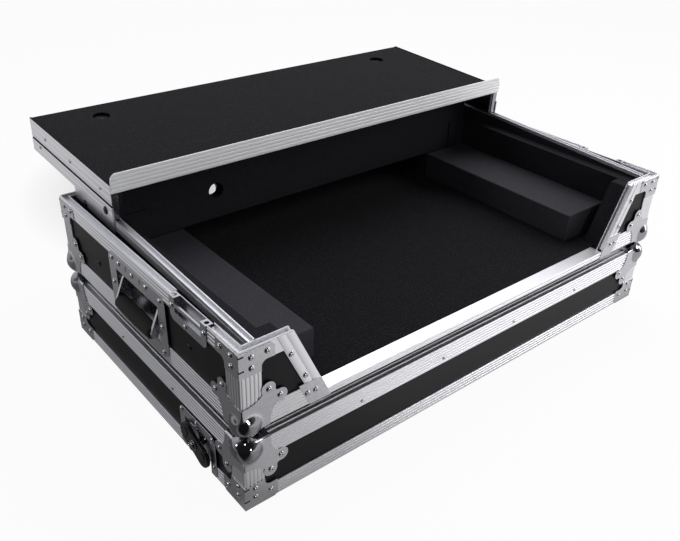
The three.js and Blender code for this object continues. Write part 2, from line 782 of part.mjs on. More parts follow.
// Base: carpet, foam and the board that hides the cables
function addLining() {
  const floorTop = wallInner + clearance;
  const carpetTop = floorTop + carpetThickness;
  const ledgeTop = carpetTop + clearance + ledgeHeight;
  const wallX = halfWidth - rimWidth - clearance;
  const rearY = caseDepth - rimWidth - clearance;
  const columnEnd = columnStart + columnDepth;
  const columnFoot = returnEdge(floorTop, columnSetback) + clearance;
  const carpetFloor = slab([-wallX, wallX], [sillDepth + clearance, rearY], [floorTop, carpetTop]);
  const columnRoom = slab(
    [-halfWidth, -halfWidth + columnFoot], [0, columnEnd + clearance], [0, carpetTop + overrun],
  );
  addPiece(base, "floor_carpet", cut(carpetFloor, bothSides(columnRoom)), carpet);

  const outer = -halfWidth + railInset + clearance / 2;
  const blockInner = -halfWidth + liningInner;
  const foot = carpetTop + clearance;
  const padY = [caseDepth - cornerPadFromRear, rearY];
  const ledge = slab(
    [blockInner + clearance, -ledgeFromCentre], [ledgeFront, padY[0] - clearance], [foot, ledgeTop],
  );
  addPiece(base, "left_foam_ledge", ledge, foam);
  addPiece(base, "right_foam_ledge", mirrorX(ledge), foam);

  const blockFoot = ledgeTop + clearance;
  const blockTop = railLevel - liningBelowRail;
  const block = slab([outer, blockInner], [columnStart, rearY], [foot, blockTop]);
  const pad = slab([outer, -halfWidth + cornerPadInner], padY, [foot, blockTop]);
  const rearLedge = slab([outer, -ledgeFromCentre], padY, [foot, ledgeTop]);
  const slant = (z) => -halfWidth + returnEdge(z, columnSetback);
  const columnTop = railLevel - columnBelowRail;
  const column = prism(
    [[outer, floorTop], [slant(floorTop), floorTop], [slant(columnTop), columnTop], [outer, columnTop]],
    "y", [columnStart, columnEnd],
  );
  const rise = (y) => railLevel - clearance + (y - railFront) * Math.tan(slope);
  const batten = prism(
    [[columnStart, blockFoot], [rearY, blockFoot], [rearY, rise(rearY)], [columnStart, rise(columnStart)]],
    "x", [outer, outer + railWidth],
  );
  const lining = join([block, pad, rearLedge, column, batten]);
  addPiece(base, "left_side_lining", lining, foam);
  addPiece(base, "right_side_lining", mirrorX(lining), foam);

  const boardSide = halfWidth - cornerPadInner - clearance;
  const boardWing = halfWidth - liningInner - partitionSideGap;
  const partitionFront = caseDepth - partitionFromRear;
  const boardY = [partitionFront, partitionFront + partitionThickness];
  const boardTop = baseHeight + partitionAboveTop;
  const hole = bar(
    cableHoleRadius, "y", [cableHoleX, blockFoot + cableHoleHeight], [boardY[0] - overrun, boardY[1] + overrun],
  );
  const board = join([
    slab([-boardSide, boardSide], boardY, [blockFoot, boardTop]),
    slab([-boardWing, boardWing], boardY, [blockTop + clearance, boardTop]),
  ]).subtract(hole);
  addPiece(base, "cable_partition", board, foam);
}

// Rails: an aluminium channel with two ridges on each side
function addRails() {
  rails.position.set(0, railFront, railLevel);
  rails.rotation.x = slope;
  const outer = -halfWidth + railInset;
  const inner = outer + railWidth;
  const height = railBase + railRidge;
  const rail = cut(slab([outer, inner], [0, railLength], [0, height]), [
    slab(
      [outer + extrusionWall, inner - extrusionWall],
      [-overrun, railLength + overrun],
      [railBase, height + overrun],
    ),
  ]);
  addPiece(rails, "left_rail", rail, aluminium);
  addPiece(rails, "right_rail", mirrorX(rail), aluminium);
}

// Laptop shelf: carpeted board, lip, side brackets and the glides that run in the rails
function addShelf() {
  const side = halfWidth - shelfInset;
  const rear = shelfFront + shelfDepth;
  const boardTop = shelfTop - shelfCarpet;
  const boardFoot = boardTop - clearance - shelfBoard;
  const boardX = side - extrusionWall - clearance;
  const boardY = [shelfFront + lipThickness + clearance, rear];
  const holeY = rear - shelfHoleFromRear;
  const holes = [-1, 1].map((end) => bar(
    shelfHoleRadius, "z", [end * shelfHoleFromCentre, holeY], [boardFoot - overrun, shelfTop + overrun],
  ));
  const board = cut(slab([-boardX, boardX], boardY, [boardFoot, boardTop - clearance]), holes);
  addPiece(rails, "shelf_board", board, laminate);
  addPiece(rails, "shelf_carpet", cut(slab([-boardX, boardX], boardY, [boardTop, shelfTop]), holes), carpet);

  const legTop = boardFoot - clearance;
  const legFoot = legTop - lipLegThickness;
  const lipX = [-side, side];
  const r = lipCornerRadius;
  const lipFace = prism(roundedRect(lipX, [legFoot, lipTop], [0, 0, r, r]), "y", [
    shelfFront, shelfFront + lipThickness,
  ]);
  const legSide = side - extrusionWall - clearance;
  const leg = slab([-legSide, legSide], [shelfFront, shelfFront + lipLeg], [legFoot, legTop]);
  addPiece(rails, "shelf_lip", join([lipFace, leg]), aluminium);

  const frontY = shelfFront + lipThickness + clearance;
  const trimFoot = shelfTop - trimHeight - trimLap;
  const lapTop = trimFoot + trimLap;
  const deepEnd = shelfFront + bracketDeepLength;
  const rearY = rear - bracketRearGap;
  const trim = slab([-side, -side + extrusionWall], [frontY, rear], [trimFoot, shelfTop]);
  const flangeFoot = boardFoot - clearance - extrusionWall;
  const flange = slab(
    [-side, -side + trimFlange], [shelfFront + lipLeg + clearance, rear], [flangeFoot, boardFoot - clearance],
  );
  const plate = prism(
    [
      [shelfFront, bracketDeepFoot], [deepEnd, bracketDeepFoot], [deepEnd, bracketFoot],
      [rearY, bracketFoot], [rearY, lapTop], [shelfFront, lapTop],
    ],
    "x", [-side - extrusionWall, -side],
  );
  const bracket = join([trim, flange, plate]);
  addPiece(rails, "left_shelf_bracket", bracket, aluminium);
  addPiece(rails, "right_shelf_bracket", mirrorX(bracket), aluminium);

  const ridgeTop = railBase + railRidge;
  const glideOuter = -side + extrusionWall + clearance;
  const glideY = [shelfFront + glideSetback, shelfFront + glideSetback + glideLength];
  const channel = [
    -halfWidth + railInset + extrusionWall + clearance,
    -halfWidth + railInset + railWidth - extrusionWall - clearance,
  ];
  const glide = join([
    slab([glideOuter, glideOuter + glideWidth], glideY, [ridgeTop + clearance, legFoot - clearance]),
    slab(channel, glideY, [railBase + clearance, ridgeTop + overrun]),
  ]);
  addPiece(rails, "left_shelf_glide", glide, blackPlastic);
  addPiece(rails, "right_shelf_glide", mirrorX(glide), blackPlastic);
}

addLid();
addBasePanels();
addBaseEdgeFrame();
addBaseRimFrame();
addBallCorners(base, "base", 0, 1);
const keep = toGeometry(latchKeep());
wallPlaces.forEach(([wall, place]) => addPiece(base, `${wall}_latch_keep`, keep, zinc, place));
addHandles();
addLining();
addRails();
addShelf();

// The origin is under the middle of the whole object, from the front balls to the shelf's rear edge.
const shelfRear = railFront + (shelfFront + shelfDepth) * Math.cos(slope) - bracketFoot * Math.sin(slope);
base.position.z = lidHeight + stackGap;
root.position.set(0, -(shelfRear - ballProud) / 2, tongueHeight);

export default root;
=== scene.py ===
"""The looks of an open flight case for a disc jockey's controller, dressed round its CAD model.

The case stands on its own lid. Its fluted aluminium angles, pressed ball corners, riveted braces,
twist latches, side handles, foam lining and sliding laptop shelf are modelled and finished here,
each at the place that the CAD nodes give. Fields are in millimetres and the scene is in metres.
"""

from __future__ import annotations

import json
import logging
import math
from contextlib import contextmanager
from dataclasses import dataclass
from enum import Enum
from typing import Any, Iterable, Iterator, Sequence

import bpy
from mathutils import Matrix, Vector

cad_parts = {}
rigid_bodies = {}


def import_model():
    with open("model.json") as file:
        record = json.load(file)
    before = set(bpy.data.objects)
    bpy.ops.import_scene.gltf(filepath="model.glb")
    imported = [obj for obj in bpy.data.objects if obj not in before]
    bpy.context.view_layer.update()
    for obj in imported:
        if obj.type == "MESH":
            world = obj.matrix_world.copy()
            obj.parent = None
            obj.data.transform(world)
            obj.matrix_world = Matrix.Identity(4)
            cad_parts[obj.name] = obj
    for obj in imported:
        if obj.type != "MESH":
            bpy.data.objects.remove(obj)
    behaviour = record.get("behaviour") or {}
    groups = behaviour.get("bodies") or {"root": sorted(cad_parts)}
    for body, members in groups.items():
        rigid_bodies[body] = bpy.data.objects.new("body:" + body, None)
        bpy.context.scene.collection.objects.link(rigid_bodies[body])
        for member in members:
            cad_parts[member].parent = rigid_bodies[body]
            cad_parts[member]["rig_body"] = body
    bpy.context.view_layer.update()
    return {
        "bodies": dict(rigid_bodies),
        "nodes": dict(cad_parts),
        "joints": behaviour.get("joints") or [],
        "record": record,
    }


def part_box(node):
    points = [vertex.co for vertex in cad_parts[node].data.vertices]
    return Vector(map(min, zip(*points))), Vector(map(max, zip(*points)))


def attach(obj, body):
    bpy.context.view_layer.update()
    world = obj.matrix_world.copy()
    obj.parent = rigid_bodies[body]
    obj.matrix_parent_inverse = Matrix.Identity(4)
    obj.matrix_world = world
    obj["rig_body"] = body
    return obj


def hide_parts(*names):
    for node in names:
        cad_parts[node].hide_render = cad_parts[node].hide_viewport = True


MM = 0.001
log = logging.getLogger("flight_case")

Range = tuple[float, float]
Outline = Sequence[tuple[float, float]]
Spot = tuple[Matrix, float, float, float]
Piece = bpy.types.Object


# Where things are


class Wall(Enum):
    """The four upright sides of the case."""

    LEFT = "left"
    RIGHT = "right"
    FRONT = "front"
    BACK = "back"


class Half(Enum):
    """The two halves of the case, and the CAD body that each one is."""

    LID = "lid"
    BASE = "base"


def local_frame(origin: Vector, first: Vector, second: Vector, third: Vector) -> Matrix:
    """Place a local frame in the scene.

    Args:
        origin: Where the local frame starts, in millimetres.
        first: Direction of its first axis.
        second: Direction of its second axis.
        third: Direction of its third axis.

    Returns:
        The matrix from local millimetres to scene metres.
    """
    columns = [axis * MM for axis in (first, second, third)]
    rows = [[column[i] for column in columns] + [origin[i] * MM] for i in range(3)]
    return Matrix((*rows, (0, 0, 0, 1)))


def with_axes(first: Vector, second: Vector, third: Vector) -> Matrix:
    """The turn that lays the three local axes along other directions."""
    return Matrix((first, second, third)).transposed().to_4x4()


X_AXIS, Y_AXIS, Z_AXIS = (Vector(axis) for axis in ((1, 0, 0), (0, 1, 0), (0, 0, 1)))
AS_DRAWN = Matrix.Identity(4)
# Each side of a corner in turn, so that one drawing serves all three.
CORNER_TURNS = (AS_DRAWN, with_axes(Y_AXIS, Z_AXIS, X_AXIS), with_axes(Z_AXIS, X_AXIS, Y_AXIS))
SIDES = {"left": -1, "right": 1}
CORNERS = [(side, end) for end in (-1, 1) for side in (-1, 1)]


def runs_between(start: float, gaps: Outline, end: float) -> list[Range]:
    """What gaps leave of a length.

    Args:
        start: Where the first run starts.
        gaps: Where each gap starts and ends, in order.
        end: Where the last run ends.

    Returns:
        Where each run starts and ends.
    """
    marks = [start, *(mark for gap in gaps for mark in gap), end]
    return list(zip(marks[::2], marks[1::2]))


@dataclass(frozen=True)
class CasePlan:
    """The main planes of the case, read from the CAD nodes."""

    half_width: float
    front: float
    rear: float
    lid_foot: float
    lid_top: float
    base_foot: float
    base_top: float

    @classmethod
    def read(cls, tongue: float = 3.0, rim_above_panel: float = 6.3) -> CasePlan:
        """Read the planes from the boxes of the frames.

        Args:
            tongue: How far the lid's tongue stands below its rim.
            rim_above_panel: How far the base's rim stands over its back panel.

        Returns:
            The plan, in millimetres.
        """
        low, high = (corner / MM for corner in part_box("base_edge_frame"))
        lid_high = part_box("lid_edge_frame")[1] / MM
        lid_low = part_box("lid_rim_frame")[0] / MM
        panel_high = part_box("base_back_panel")[1] / MM
        levels = lid_low.z + tongue, lid_high.z, low.z, panel_high.z + rim_above_panel
        return cls(high.x, low.y, high.y, *levels)

    def foot(self, half: Half) -> float:
        """The level of a half's lowest edge."""
        return self.lid_foot if half is Half.LID else self.base_foot

    def height(self, half: Half) -> float:
        """The height of a half."""
        top = self.lid_top if half is Half.LID else self.base_top
        return top - self.foot(half)

    def rise(self, half: Half, level: float) -> float:
        """A level over a half's foot, which counts down from its top where it is negative."""
        return level if level > 0 else self.height(half) + level

    def length(self, wall: Wall) -> float:
        """The length of a wall."""
        return self.rear - self.front if wall in (Wall.LEFT, Wall.RIGHT) else 2 * self.half_width

    def axes(self, wall: Wall) -> tuple[Vector, Vector, Vector]:
        """A wall's near low corner, the direction along it and the direction out of it.

        Args:
            wall: The wall.

        Returns:
            The corner in millimetres at level 0, and two unit vectors.
        """
        side = self.half_width
        corner, along, out = {
            Wall.LEFT: ((-side, self.front), Y_AXIS, -X_AXIS),
            Wall.RIGHT: ((side, self.front), Y_AXIS, X_AXIS),
            Wall.FRONT: ((-side, self.front), X_AXIS, -Y_AXIS),
            Wall.BACK: ((-side, self.rear), X_AXIS, Y_AXIS),
        }[wall]
        return Vector((*corner, 0)), along, out

    def on_wall(self, wall: Wall, half: Half) -> Matrix:
        """The frame (along, up, out) of a wall of one half.

        Args:
            wall: The wall.
            half: The half.

        Returns:
            The matrix from the wall to the scene.
        """
        corner, along, out = self.axes(wall)
        corner.z = self.foot(half)
        return local_frame(corner, along, Z_AXIS, out)

    def on_side(self, side: int, from_front: float) -> Matrix:
        """The frame (along, up, out) of the base's foot at a place on a side wall."""
        middle = Vector((side * self.half_width, self.front + from_front, self.base_foot))
        return local_frame(middle, Y_AXIS, Z_AXIS, X_AXIS * side)

    def at_corner(self, side: int, end: int, up: int, level: float) -> Matrix:
        """The frame of an upright corner, with all three axes pointing into the case.

        Args:
            side: -1 on the left or 1 on the right.
            end: -1 at the front or 1 at the rear.
            up: 1 where the third axis points up, -1 where it points down.
            level: Height of the frame's origin.

        Returns:
            The matrix from local millimetres to scene metres.
        """
        origin = Vector((side * self.half_width, self.front if end < 0 else self.rear, level))
        return local_frame(origin, X_AXIS * -side, Y_AXIS * -end, Z_AXIS * up)


# Modelling, as at a bench


def pick_only(piece: Piece) -> None:
    """Select one piece alone and make it active.

    Args:
        piece: The piece.
    """
    bpy.ops.object.select_all(action="DESELECT")
    piece.select_set(True)
    bpy.context.view_layer.objects.active = piece


@contextmanager
def edit_mode(action: str | None = "SELECT") -> Iterator[None]:
    """Work on the active mesh in edit mode.

    Args:
        action: What is done to all of it first: SELECT, DESELECT or nothing.

    Yields:
        Nothing.
    """
    bpy.ops.object.mode_set(mode="EDIT")
    if action:
        bpy.ops.mesh.select_all(action=action)
    yield
    bpy.ops.object.mode_set(mode="OBJECT")


def shade_smooth(degrees: float) -> None:
    """Shade what is selected smooth, but not across edges sharper than an angle."""
    bpy.ops.object.shade_smooth_by_angle(angle=math.radians(degrees))


def named(piece: Piece, name: str) -> Piece:
    """Name a piece and its mesh alike.

    Args:
        piece: The piece.
        name: Its new name.

    Returns:
        The piece.
    """
    piece.name = name
    piece.data.name = name
    return piece


def put(piece: Piece, place: Matrix, name: str) -> Piece:
    """Move the mesh of a piece, whose object is at the origin, to its place and name it.

    Args:
        piece: The piece.
        place: Where it goes.
        name: Its name there.

    Returns:
        The piece.
    """
    piece.data.transform(place)
    if place.determinant() < 0:
        piece.data.flip_normals()
    return named(piece, name)


def drawn(points: Iterable[Sequence[float]], fill: str) -> Piece:
    """Draw a closed outline.

    Args:
        points: Its corners.
        fill: NGON for a face or NOTHING for its edges alone.

    Returns:
        The flat piece.
    """
    corners = list(points)
    bpy.ops.object.select_all(action="DESELECT")
    bpy.ops.mesh.primitive_circle_add(vertices=len(corners), fill_type=fill)
    piece = bpy.context.active_object
    for vertex, corner in zip(piece.data.vertices, corners):
        vertex.co = corner
    return piece


def closed(piece: Piece, place: Matrix, name: str) -> Piece:
    """Point a closed piece's faces out of it, move it to its place and name it.

    Args:
        piece: The piece.
        place: Where it goes.
        name: Its name there.

    Returns:
        The piece.
    """
    pick_only(piece)
    with edit_mode():
        bpy.ops.mesh.normals_make_consistent(inside=False)
    return put(piece, place, name)


def prism(name: str, outline: Outline, span: Range, place: Matrix = AS_DRAWN) -> Piece:
    """Cut an outline from stock and extrude it.

    Args:
        name: Name of the piece.
        outline: Its corners in the first two local axes.
        span: Where it starts and ends along the third local axis.
        place: The local frame.

    Returns:
        The closed piece.
    """
    piece = drawn(((u, v, span[0]) for u, v in outline), "NGON")
    with edit_mode():
        depth = {"value": (0, 0, span[1] - span[0])}
        bpy.ops.mesh.extrude_region_move(TRANSFORM_OT_translate=depth)
    return closed(piece, place, name)


def block(name: str, first: Range, second: Range, third: Range, place: Matrix) -> Piece:
    """A straight-sided block from its ranges along the three local axes of its place."""
    (u0, u1), (v0, v1) = first, second
    return prism(name, [(u0, v0), (u1, v0), (u1, v1), (u0, v1)], third, place)


def turned(
    name: str, profile: Outline, steps: int, place: Matrix, smooth: float = 0.0, weld: float = 0.001
) -> Piece:
    """Turn a profile round the third local axis, as on a lathe.

    Args:
        name: Name of the piece.
        profile: Closed profile of (radius, height) corners.
        steps: Number of steps round.
        place: The local frame.
        smooth: Edges flatter than this are shaded smooth, in degrees, or none at 0.
        weld: Points nearer than this are merged.

    Returns:
        The closed piece.
    """
    piece = drawn(((radius, 0, height) for radius, height in profile), "NOTHING")
    with edit_mode():
        bpy.ops.mesh.spin(steps=steps, angle=2 * math.pi, center=(0, 0, 0), axis=(0, 0, 1))
        bpy.ops.mesh.select_all(action="SELECT")
        bpy.ops.mesh.remove_doubles(threshold=weld)
        bpy.ops.mesh.delete_loose()
    closed(piece, place, name)
    if smooth:
        shade_smooth(smooth)
    return piece


def apply_modifier(piece: Piece, kind: str, **settings: Any) -> None:
    """Add a modifier with its settings and apply it.

    Args:
        piece: The piece.
        kind: The modifier's type.
        **settings: Its settings.
    """
    modifier = piece.modifiers.new(kind.title(), kind)
    for key, value in settings.items():
        setattr(modifier, key, value)
    pick_only(piece)
    bpy.ops.object.modifier_apply(modifier=modifier.name)


def carve(piece: Piece, tool: Piece, operation: str = "DIFFERENCE") -> Piece:
    """Cut a piece with a tool, which is used up.

    Args:
        piece: The piece that is kept.
        tool: The other solid.
        operation: DIFFERENCE, UNION or INTERSECT.

    Returns:
        The piece.
    """
    apply_modifier(piece, "BOOLEAN", operation=operation, object=tool, solver="EXACT")
    bpy.data.objects.remove(tool)
    return piece


def soften(piece: Piece, width: float, segments: int = 2, angle: float = 35.0) -> Piece:
    """Round a piece's edges and shade it smooth up to an angle.

    Args:
        piece: The piece.
        width: Width of the rounding.
        segments: Number of steps in it.
        angle: Edges sharper than this are rounded, in degrees.

    Returns:
        The piece.
    """
    rounding = {"width": width * MM, "segments": segments, "angle_limit": math.radians(angle)}
    apply_modifier(piece, "BEVEL", limit_method="ANGLE", **rounding)
    shade_smooth(angle)
    apply_modifier(piece, "WEIGHTED_NORMAL", weight=100, keep_sharp=True)
    return piece


def joined(name: str, pieces: Iterable[Piece]) -> Piece:
    """Make several pieces one object, which keeps the first one's place in the scene.

    Args:
        name: Name of the whole.
        pieces: The pieces, in order.

    Returns:
        The first piece, which holds them all.
    """
    first, *others = pieces
    pick_only(first)
    for piece in others:
        piece.select_set(True)
    bpy.ops.object.join()
    return named(first, name)


def copied(piece: Piece, name: str, place: Matrix) -> Piece:
    """Copy a piece with its own mesh and put the copy in its place.

    Args:
        piece: The piece.
        name: Name of the copy.
        place: Where the copy goes.

    Returns:
        The copy.
    """
    copy = piece.copy()
    copy.data = piece.data.copy()
    bpy.context.scene.collection.objects.link(copy)
    return put(copy, place, name)


def arc(centre: tuple[float, float], radius: float, start: float, end: float, steps: int) -> list:
    """Points along an arc.

    Args:
        centre: Centre of the arc.
        radius: Its radius.
        start: Angle of the first point, in degrees.
        end: Angle of the last point, in degrees.
        steps: Number of steps.

    Returns:
        The points.
    """
    angles = [math.radians(start + (end - start) * i / steps) for i in range(steps + 1)]
    return [(centre[0] + radius * math.cos(a), centre[1] + radius * math.sin(a)) for a in angles]


def curve(start: Sequence, pull: Sequence, end: Sequence, steps: int = 8) -> list:
    """Points inside a quadratic curve between two points.

    Args:
        start: First point, left out.
        pull: The point that the curve is drawn towards.
        end: Last point, left out.
        steps: Number of steps.

    Returns:
        The points between the ends.
    """
    points = []
    for t in (i / steps for i in range(1, steps)):
        near, middle, far = (1 - t) ** 2, 2 * t * (1 - t), t * t
        points.append([near * s + middle * p + far * e for s, p, e in zip(start, pull, end)])
    return points


def rounded(first: Range, second: Range, radii: Sequence[float], steps: int = 6) -> list:
    """A rectangle with its own radius at each corner.

    Args:
        first: Range along the first axis.
        second: Range along the second axis.
        radii: Radii at the low left, low right, top right and top left corners.
        steps: Number of steps round each.

    Returns:
        The outline.
    """
    (u0, u1), (v0, v1) = first, second
    corners = ((u0, v0, 1, 1, 180), (u1, v0, -1, 1, 270), (u1, v1, -1, -1, 0), (u0, v1, 1, -1, 90))
    points: list = []
    for (u, v, du, dv, start), radius in zip(corners, radii):
        if radius:
            centre = u + du * radius, v + dv * radius
            points += arc(centre, radius, start, start + 90, steps)
        else:
            points.append((u, v))
    return points


# Finishes


def linear(hex_colour: str) -> tuple[float, float, float, float]:
    """Turn the six digits of an sRGB hex colour into Blender's linear colour with full alpha.

    Args:
        hex_colour: The six digits.

    Returns:
        Red, green, blue and alpha.
    """
    values = [int(hex_colour[i : i + 2], 16) / 255 for i in (0, 2, 4)]
    channels = [v / 12.92 if v <= 0.04045 else ((v + 0.055) / 1.055) ** 2.4 for v in values]
    return (*channels, 1.0)


def add_node(
    tree: bpy.types.NodeTree, kind: str, settings: dict | None = None, *inputs: Any, **links: Any
) -> Any:
    """Add a node with its settings and links.

    Args:
        tree: The node tree.
        kind: The node's type.
        settings: Values of its inputs or properties, by name.
        *inputs: What its first inputs take in order, each a socket or a value.
        **links: Sockets to link to its inputs, by name.

    Returns:
        The node.
    """
    node = tree.nodes.new(kind)
    for key, value in (settings or {}).items():
        if key in node.inputs:
            node.inputs[key].default_value = value
        else:
            setattr(node, key, value)
    targets = [*node.inputs[: len(inputs)], *(node.inputs[name] for name in links)]
    for target, source in zip(targets, (*inputs, *links.values())):
        if isinstance(source, bpy.types.NodeSocket):
            tree.links.new(source, target)
        else:
            target.default_value = source
    return node


@dataclass(frozen=True)
class Finish:
    """A surface: what it is made of and how it was made.

    Colours are sRGB. Grain is the size of its texture in millimetres, relief how deep that is in
    millimetres, and both colours and the roughness follow it.
    """

    name: str
    colour: str
    second_colour: str
    roughness: float
    grain: float
    relief: float
    metallic: float = 0.0
    roughness_spread: float = 0.08
    sheen: float = 0.0
    sheen_roughness: float = 0.5
    specular: float = 0.5
    detail: float = 4.0
    detail_roughness: float = 0.6

    def height(self, tree: bpy.types.NodeTree, place: Any) -> Any:
        """The socket that carries the texture's height, from 0 to 1.

        Args:
            tree: The node tree.
            place: Socket of the place on the surface.

        Returns:
            The socket.
        """
        scale = 1 / (self.grain * MM)
        settings = {"Scale": scale, "Detail": self.detail, "Roughness": self.detail_roughness}
        return add_node(tree, "ShaderNodeTexNoise", settings, Vector=place).outputs["Fac"]

    def material(self) -> bpy.types.Material:
        """Make the material, or find the one that was made before.

        Returns:
            The material.
        """
        known = bpy.data.materials.get(self.name)
        if known:
            return known
        made = bpy.data.materials.new(self.name)
        made.use_nodes = True
        tree = made.node_tree
        shader = tree.nodes["Principled BSDF"].inputs
        shader["Metallic"].default_value = self.metallic
        if self.sheen:
            shader["Sheen Weight"].default_value = self.sheen
            shader["Sheen Roughness"].default_value = self.sheen_roughness
        if not self.metallic:
            shader["Specular IOR Level"].default_value = self.specular
        place = add_node(tree, "ShaderNodeTexCoord").outputs["Object"]
        height = self.height(tree, place)
        colours = add_node(tree, "ShaderNodeMix", {"data_type": "RGBA"}, height)
        # The colour inputs of this node share their names with others, so they go by number.
        colours.inputs[6].default_value = linear(self.colour)
        colours.inputs[7].default_value = linear(self.second_colour)
        low, high = self.roughness - self.roughness_spread, self.roughness + self.roughness_spread
        limits = {"To Min": low, "To Max": min(1.0, high)}
        rough = add_node(tree, "ShaderNodeMapRange", limits, height)
        bump = add_node(tree, "ShaderNodeBump", {"Distance": self.relief * MM}, Height=height)
        tree.links.new(colours.outputs[2], shader["Base Color"])
        tree.links.new(rough.outputs["Result"], shader["Roughness"])
        tree.links.new(bump.outputs["Normal"], shader["Normal"])
        return made


@dataclass(frozen=True)
class CellFinish(Finish):
    """A surface whose texture is packed cells, such as pores, pile or stamped grain.

    Fleck is the gain on the cells, sharpness makes the pale flecks smaller, and the patches, of
    several grains each, are darker and paler areas of the surface.
    """

    fleck: float = 1.15
    sharpness: float = 1.0
    patch_grains: float = 7.0
    patch_detail: float = 3.0
    patch_levels: tuple = (0.6, 1.1)

    def height(self, tree: bpy.types.NodeTree, place: Any) -> Any:
        """Cells with uneven patches laid over them.

        Args:
            tree: The node tree.
            place: Socket of the place on the surface.

        Returns:
            The socket of the height.
        """
        scale = {"Scale": 1 / (self.grain * MM)}
        cells = add_node(tree, "ShaderNodeTexVoronoi", scale, Vector=place).outputs["Distance"]
        scale = {"Scale": 1 / (self.patch_grains * self.grain * MM), "Detail": self.patch_detail}
        patches = add_node(tree, "ShaderNodeTexNoise", scale, Vector=place).outputs["Fac"]
        product = {"operation": "MULTIPLY", "use_clamp": True}
        flecks = add_node(tree, "ShaderNodeMath", product, cells, self.fleck).outputs[0]
        power = {"operation": "POWER"}
        sharp = add_node(tree, "ShaderNodeMath", power, flecks, self.sharpness).outputs[0]
        low, high = self.patch_levels
        levels = {"To Min": low, "To Max": high}
        evened = add_node(tree, "ShaderNodeMapRange", levels, patches).outputs["Result"]
        return add_node(tree, "ShaderNodeMath", product, sharp, evened).outputs[0]


# Extruded aluminium, satin anodised: an even pale grey with a soft, slightly streaky gloss.
SATIN_EXTRUSION = Finish(
    "satin_anodised_aluminium", "E0E0E4", "ECECF0", 0.38, 2.5, 0.012, metallic=1.0
)
# The same alloy as it leaves the die, on rails that are never polished: duller and more even.
MILL_EXTRUSION = Finish("mill_finish_aluminium", "DADADF", "E8E8EC", 0.42, 1.6, 0.02, metallic=0.9)
# The same alloy painted paler and more matt as a painted highlight, so that the lip, the rim's
# beads and the lid's beads show as bright lines and faces.
HIGHLIGHT_EXTRUSION = Finish(
    "aluminium_with_painted_highlight", "F3F3F6", "FBFBFD", 0.42, 2.0, 0.01, metallic=0.2
)
# Pressed steel, bright zinc plated: cloudier and a little darker than the extrusions.
ZINC_PLATE = Finish(
    "bright_zinc_plated_steel", "B4B4B9", "D5D5D9", 0.25, 5.0, 0.03, metallic=1.0,
    roughness_spread=0.09,
)
# Nickel plating over a polished pressing: a grey mirror with faint waves.
POLISHED_NICKEL = Finish(
    "polished_nickel", "8E8E93", "9C9CA0", 0.06, 12.0, 0.01, metallic=1.0, roughness_spread=0.03
)
# Paper laminate on plywood, pressed against a textured plate: near black with pale flecks.
LAMINATE = CellFinish(
    "black_textured_laminate", "050507", "1F1E25", 0.46, 1.5, 0.06, specular=0.17, sharpness=2.0
)
# Short needled felt: light is lost in the pile, with a thin bloom at low angles.
FELT = CellFinish(
    "black_needled_felt", "050507", "26252C", 0.95, 1.9, 0.4, roughness_spread=0.04, sheen=0.05,
    specular=0.1, sharpness=3.0,
)
# Closed-cell polyethylene foam, cut and skinned: dark grey and dull with fine pores, which are
# drawn coarser than life so that they show.
FOAM = CellFinish(
    "charcoal_foam", "29282D", "45444B", 0.8, 1.6, 0.15, roughness_spread=0.06, specular=0.2
)
# The same foam in black, glued to the walls and made into the partition.
LINING_FOAM = CellFinish(
    "black_foam", "161619", "2B2A30", 0.85, 1.6, 0.15, roughness_spread=0.06, specular=0.12
)
# Moulded nylon: black with a low gloss.
NYLON = Finish("black_moulded_nylon", "070709", "0E0E10", 0.32, 0.8, 0.015, specular=0.4)
# Moulded rubber, on the grips and the cable hole seals: black and dull. The same finish makes the
# strips along the shelf's side joints, which are painted shade.
RUBBER_AND_SHADE_STRIP = Finish("black_rubber", "020203", "050506", 0.55, 1.5, 0.03, specular=0.04)
# Plated sheet left bright where it is folded: a dark mirror, crumpled a little by the press brake.
BRIGHT_SHEET = Finish(
    "folded_bright_steel", "8E8E93", "ABABB0", 0.1, 3.5, 0.35, metallic=1.0, roughness_spread=0.05
)
# Blacked steel of screws and bolts: near black with a weak metal gloss. The same finish is laid
# over the punched slots of the braces and handle dishes as painted shade.
BLACK_STEEL_AND_SLOT_SHADE = Finish("blacked_steel_and_slot_shade", "1B1B1D", "2B2B2E", 0.3, 1.0, 0.01, metallic=0.8)


